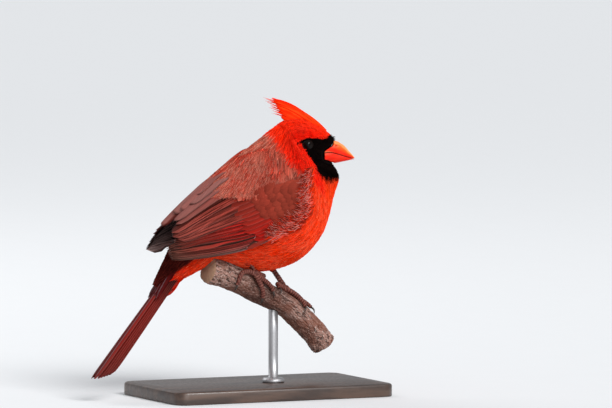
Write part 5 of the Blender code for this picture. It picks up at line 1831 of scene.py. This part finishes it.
class CARDINAL_OT_legs(Operator):
    """Makes the scaly tarsi and toes, and gives the claws their horn"""

    bl_idname = "cardinal.legs"
    bl_label = "Legs and claws"

    def execute(self, context):
        for side_name, _ in SIDES:
            top, hub, down = leg_line(side_name)
            tarsus = cad_copy("tarsus_" + side_name, "shank_" + side_name)
            remeshed(tarsus, 0.00022, 4)
            along = (corners(tarsus) - top) @ down
            ankle = along.max()
            stretch = (ankle - along) * THIGH_REACH / (ankle - along.min())
            points = pushed_out(tarsus, 0.35) - np.outer(stretch, down)
            move_corners(tarsus, points)
            self.scutes(tarsus, (points - top) @ down, 1.9)
            cover(tarsus, leg_scutes, "leg_skin", "tarsus_" + side_name)
            foot = cad_copy("foot_" + side_name, "toes_" + side_name)
            remeshed(foot, 0.00025, 4)
            move_corners(foot, pushed_out(foot, 0.22))
            self.scutes(foot, np.linalg.norm(corners(foot) - hub, axis=1), 1.5)
            cover(foot, leg_scutes, "leg_skin", "foot_" + side_name)
            for number in range(1, 5):
                node = f"claw_{side_name}_{number}"
                claw = cad_copy(node, f"talon_{side_name}_{number}")
                apply_modifier(claw, "SUBSURF", levels=2, render_levels=2)
                bpy.ops.object.shade_smooth()
                cover(claw, claw_horn, "claws", node)
        return {"FINISHED"}

    def scutes(self, piece, along, gap):
        """Overlapping plates: each rises to its lower edge and ends in a pale groove."""
        noise = waves(corners(piece), 2.4, 13, 2)
        phase = (along / gap + 0.18 * noise) % 1.0
        rise = phase ** 1.5 * eased((1 - phase) / 0.16)
        move_corners(piece, pushed_out(piece, (0.26 * rise - 0.10)[:, None]))
        store(piece, "scute", "FLOAT", 0.9 * eased((phase - 0.58) / 0.16) * eased((1.0 - phase) / 0.10))


class CARDINAL_OT_perch(Operator):
    """Makes the cut length of branch, with ridged bark and pale broken ends"""

    bl_idname = "cardinal.perch"
    bl_label = "Perch"

    def execute(self, context):
        stations, sides = 420, 200
        share = np.linspace(0, 1, stations)
        angle = np.linspace(0, 2 * math.pi, sides, endpoint=False)
        s, a = (g.ravel() for g in np.meshgrid(share, angle, indexing="ij"))
        lie = np.column_stack([s * PERCH_LENGTH, PERCH_RADIUS * np.cos(a), PERCH_RADIUS * np.sin(a)])
        ridges = waves(lie * (0.22, 1, 1), 3.4, 101, 3)
        flakes = waves(lie * (0.6, 1, 1), 1.5, 102, 2)
        broad = waves(lie, 14.0, 103, 2)
        relief = 0.42 * ridges - 0.30 * np.abs(ridges) + 0.20 * flakes + 0.30 * broad - 0.30
        grip = self.near_toes(s, a)
        relief = np.minimum(relief * (1 - 0.7 * grip) - 0.25 * grip, 0.35)
        ends = np.minimum(s, 1 - s) * PERCH_LENGTH
        relief = relief - eased((1.2 - ends) / 1.2)
        points = perch_points(s, a, relief)
        perch = grid_object("branch", points.reshape(stations, sides, 3))
        bpy.ops.object.shade_smooth()
        middles = [[0, 0, 0], [PERCH_LENGTH, 0, 0]]
        store(perch, "lie", "FLOAT_VECTOR", np.concatenate([lie, middles]) / 8.0)
        store(perch, "cut", "FLOAT", np.concatenate([eased((0.9 - ends) / 0.3), [1.0, 1.0]]))
        # Painted shade: darker round the feet under the bird, and towards the branch's underside
        bird_shadow = np.exp(-((s - 0.40) / 0.17) ** 2) * (0.75 + 0.25 * np.cos(a - 0.5))
        below = 0.25 * (0.5 - 0.5 * np.cos(a))
        store(perch, "shade", "FLOAT", np.concatenate([np.clip(bird_shadow + below, 0, 1), [0.0, 0.0]]))
        cover(perch, perch_bark, "branch_wood", "perch")
        return {"FINISHED"}

    def near_toes(self, s, a):
        """1 under the feet, where the bark stays level with what grips it."""
        grip = np.zeros(len(s))
        for share, turn in HUBS.values():
            apart = (a - math.radians(turn) + math.pi) % (2 * math.pi) - math.pi
            under = eased((0.13 - np.abs(s - share)) / 0.05) * eased((1.3 - np.abs(apart)) / 0.4)
            grip = np.maximum(grip, under)
        return grip


# The rod's place, and the radii of its shaft and of its collar's two steps
ROD_PLACE = (9.0, -3.4)
ROD_RADII = (3.0, 6.0, 7.0)
ROD_SIDES = 16


class CARDINAL_OT_stand(Operator):
    """Gives the stand's base and rod their finishes"""

    bl_idname = "cardinal.stand"
    bl_label = "Stand"

    def execute(self, context):
        base = cad_copy("stand_base", "plinth")
        apply_modifier(base, "BEVEL", width=0.0003, segments=2, limit_method="ANGLE")
        smooth_faces(base, 30)
        cover(base, base_wood, "stand_wood", "stand_base")
        rod = cad_copy("stand_rod", "upright")
        self.round_out(rod)
        smooth_faces(rod, 35)
        cover(rod, rod_steel, "stand_metal", "stand_rod")
        return {"FINISHED"}

    def round_out(self, rod):
        """Rounds the faceted rod: its long faces are split and set on its true radius."""
        edit_whole(rod, bpy.ops.mesh.subdivide, number_cuts=2)
        points = corners(rod)
        flat = points[:, :2] - ROD_PLACE
        reach = np.linalg.norm(flat, axis=1)
        for radius in ROD_RADII:
            near = (reach > radius * math.cos(math.pi / ROD_SIDES) - 0.01) & (reach < radius)
            flat[near] *= (radius / reach[near])[:, None]
        points[:, :2] = flat + ROD_PLACE
        move_corners(rod, points)


# The camera's turn round the bird and its rise, its distance, and the middle and width of its view in metres
CAMERA_TURN = math.radians(25)
CAMERA_RISE = math.radians(4)
CAMERA_DISTANCE = 5.0
VIEW_CENTRE = (0.03024, 0.12033)
VIEW_WIDTH = 612 * 0.00063
SENSOR_WIDTH = 36.0
LAMP_AIM = Vector((0, 0, 0.12))


class CARDINAL_OT_stage(Operator):
    """Sets the pale floor, the soft lights and the camera at the photograph's viewing angle"""

    bl_idname = "cardinal.stage"
    bl_label = "Stage"

    def execute(self, context):
        self.floor()
        self.camera()
        self.sky()
        self.lamp("key", "SUN", (0.2, -1.0, 0.95), settings().stand.lamp_power, angle=0.5)
        self.lamp("fill", "AREA", (-0.3, -1.5, 0.22), 5.0, shape="DISK", size=0.8)
        self.lamp("back", "AREA", (-0.5, 1.2, 1.2), 6.0, shape="DISK", size=1.0)
        context.scene.view_settings.view_transform = "Standard"
        return {"FINISHED"}

    def floor(self):
        deselect()
        bpy.ops.mesh.primitive_plane_add(size=60.0, location=(0, 0, -0.0002))
        floor = bpy.context.object
        floor.name = "floor"
        bpy.ops.object.transform_apply(location=True, rotation=True, scale=True)
        cover(floor, floor_paint, None)

    def camera(self):
        """Straight at the bird's right side from a little behind and above, from far enough to look flat."""
        turn, rise = CAMERA_TURN, CAMERA_RISE
        right = Vector((math.cos(turn), -math.sin(turn), 0))
        back = Vector((-math.sin(turn) * math.cos(rise), -math.cos(turn) * math.cos(rise), math.sin(rise)))
        up = back.cross(right)
        data = bpy.data.cameras.new("camera")
        data.sensor_width = SENSOR_WIDTH
        data.lens = SENSOR_WIDTH * CAMERA_DISTANCE / VIEW_WIDTH
        data.clip_end = 100.0
        camera = new_object("camera", data)
        camera.location = right * VIEW_CENTRE[0] + up * VIEW_CENTRE[1] + back * CAMERA_DISTANCE
        camera.rotation_euler = back.to_track_quat("Z", "Y").to_euler()
        bpy.context.scene.camera = camera

    def sky(self):
        """Even pale light from all round, which fills the shadows."""
        world = bpy.data.worlds.new("soft_sky")
        bpy.context.scene.world = world
        world.use_nodes = True
        background = world.node_tree.nodes["Background"]
        background.inputs["Color"].default_value = (0.93, 0.96, 1.0, 1)
        background.inputs["Strength"].default_value = 0.48

    def lamp(self, name, kind, place, power, **values):
        """A lamp that points at the bird."""
        data = bpy.data.lights.new(name, kind)
        for key, value in values.items():
            setattr(data, key, value)
        data.energy = power
        lamp = new_object(name, data)
        lamp.location = place
        lamp.rotation_euler = (Vector(place) - LAMP_AIM).to_track_quat("Z", "Y").to_euler()


STEPS = ("stage", "skin", "coat", "wings", "tail", "crest", "bill", "eyes", "legs", "perch", "stand")


class CARDINAL_PT_panel(Panel):
    """Lists the sizes, the colours and the steps that build the model"""

    bl_idname = "CARDINAL_PT_panel"
    bl_label = "Northern Cardinal"
    bl_space_type = "VIEW_3D"
    bl_region_type = "UI"
    bl_category = "Cardinal"

    def draw(self, context):
        layout = self.layout
        for step in STEPS:
            layout.operator("cardinal." + step)
        for group in (settings().plumage, settings().wings, settings().bare, settings().stand):
            box = layout.box()
            for name in group.bl_rna.properties.keys():
                if name not in ("rna_type", "name"):
                    box.prop(group, name)


CLASSES = (
    CardinalPlumage, CardinalWings, CardinalBareParts, CardinalStand, CardinalSettings, CARDINAL_OT_skin,
    CARDINAL_OT_coat, CARDINAL_OT_wings, CARDINAL_OT_tail, CARDINAL_OT_crest, CARDINAL_OT_bill,
    CARDINAL_OT_eyes, CARDINAL_OT_legs, CARDINAL_OT_perch, CARDINAL_OT_stand, CARDINAL_OT_stage,
    CARDINAL_PT_panel,
)


def register():
    for item in CLASSES:
        bpy.utils.register_class(item)
    bpy.types.Scene.cardinal = PointerProperty(type=CardinalSettings)


def unregister():
    del bpy.types.Scene.cardinal
    for item in reversed(CLASSES):
        bpy.utils.unregister_class(item)


def main():
    register()
    shared_groups()
    for step in STEPS:
        getattr(bpy.ops.cardinal, step)()


if __name__ == "__main__":
    main()
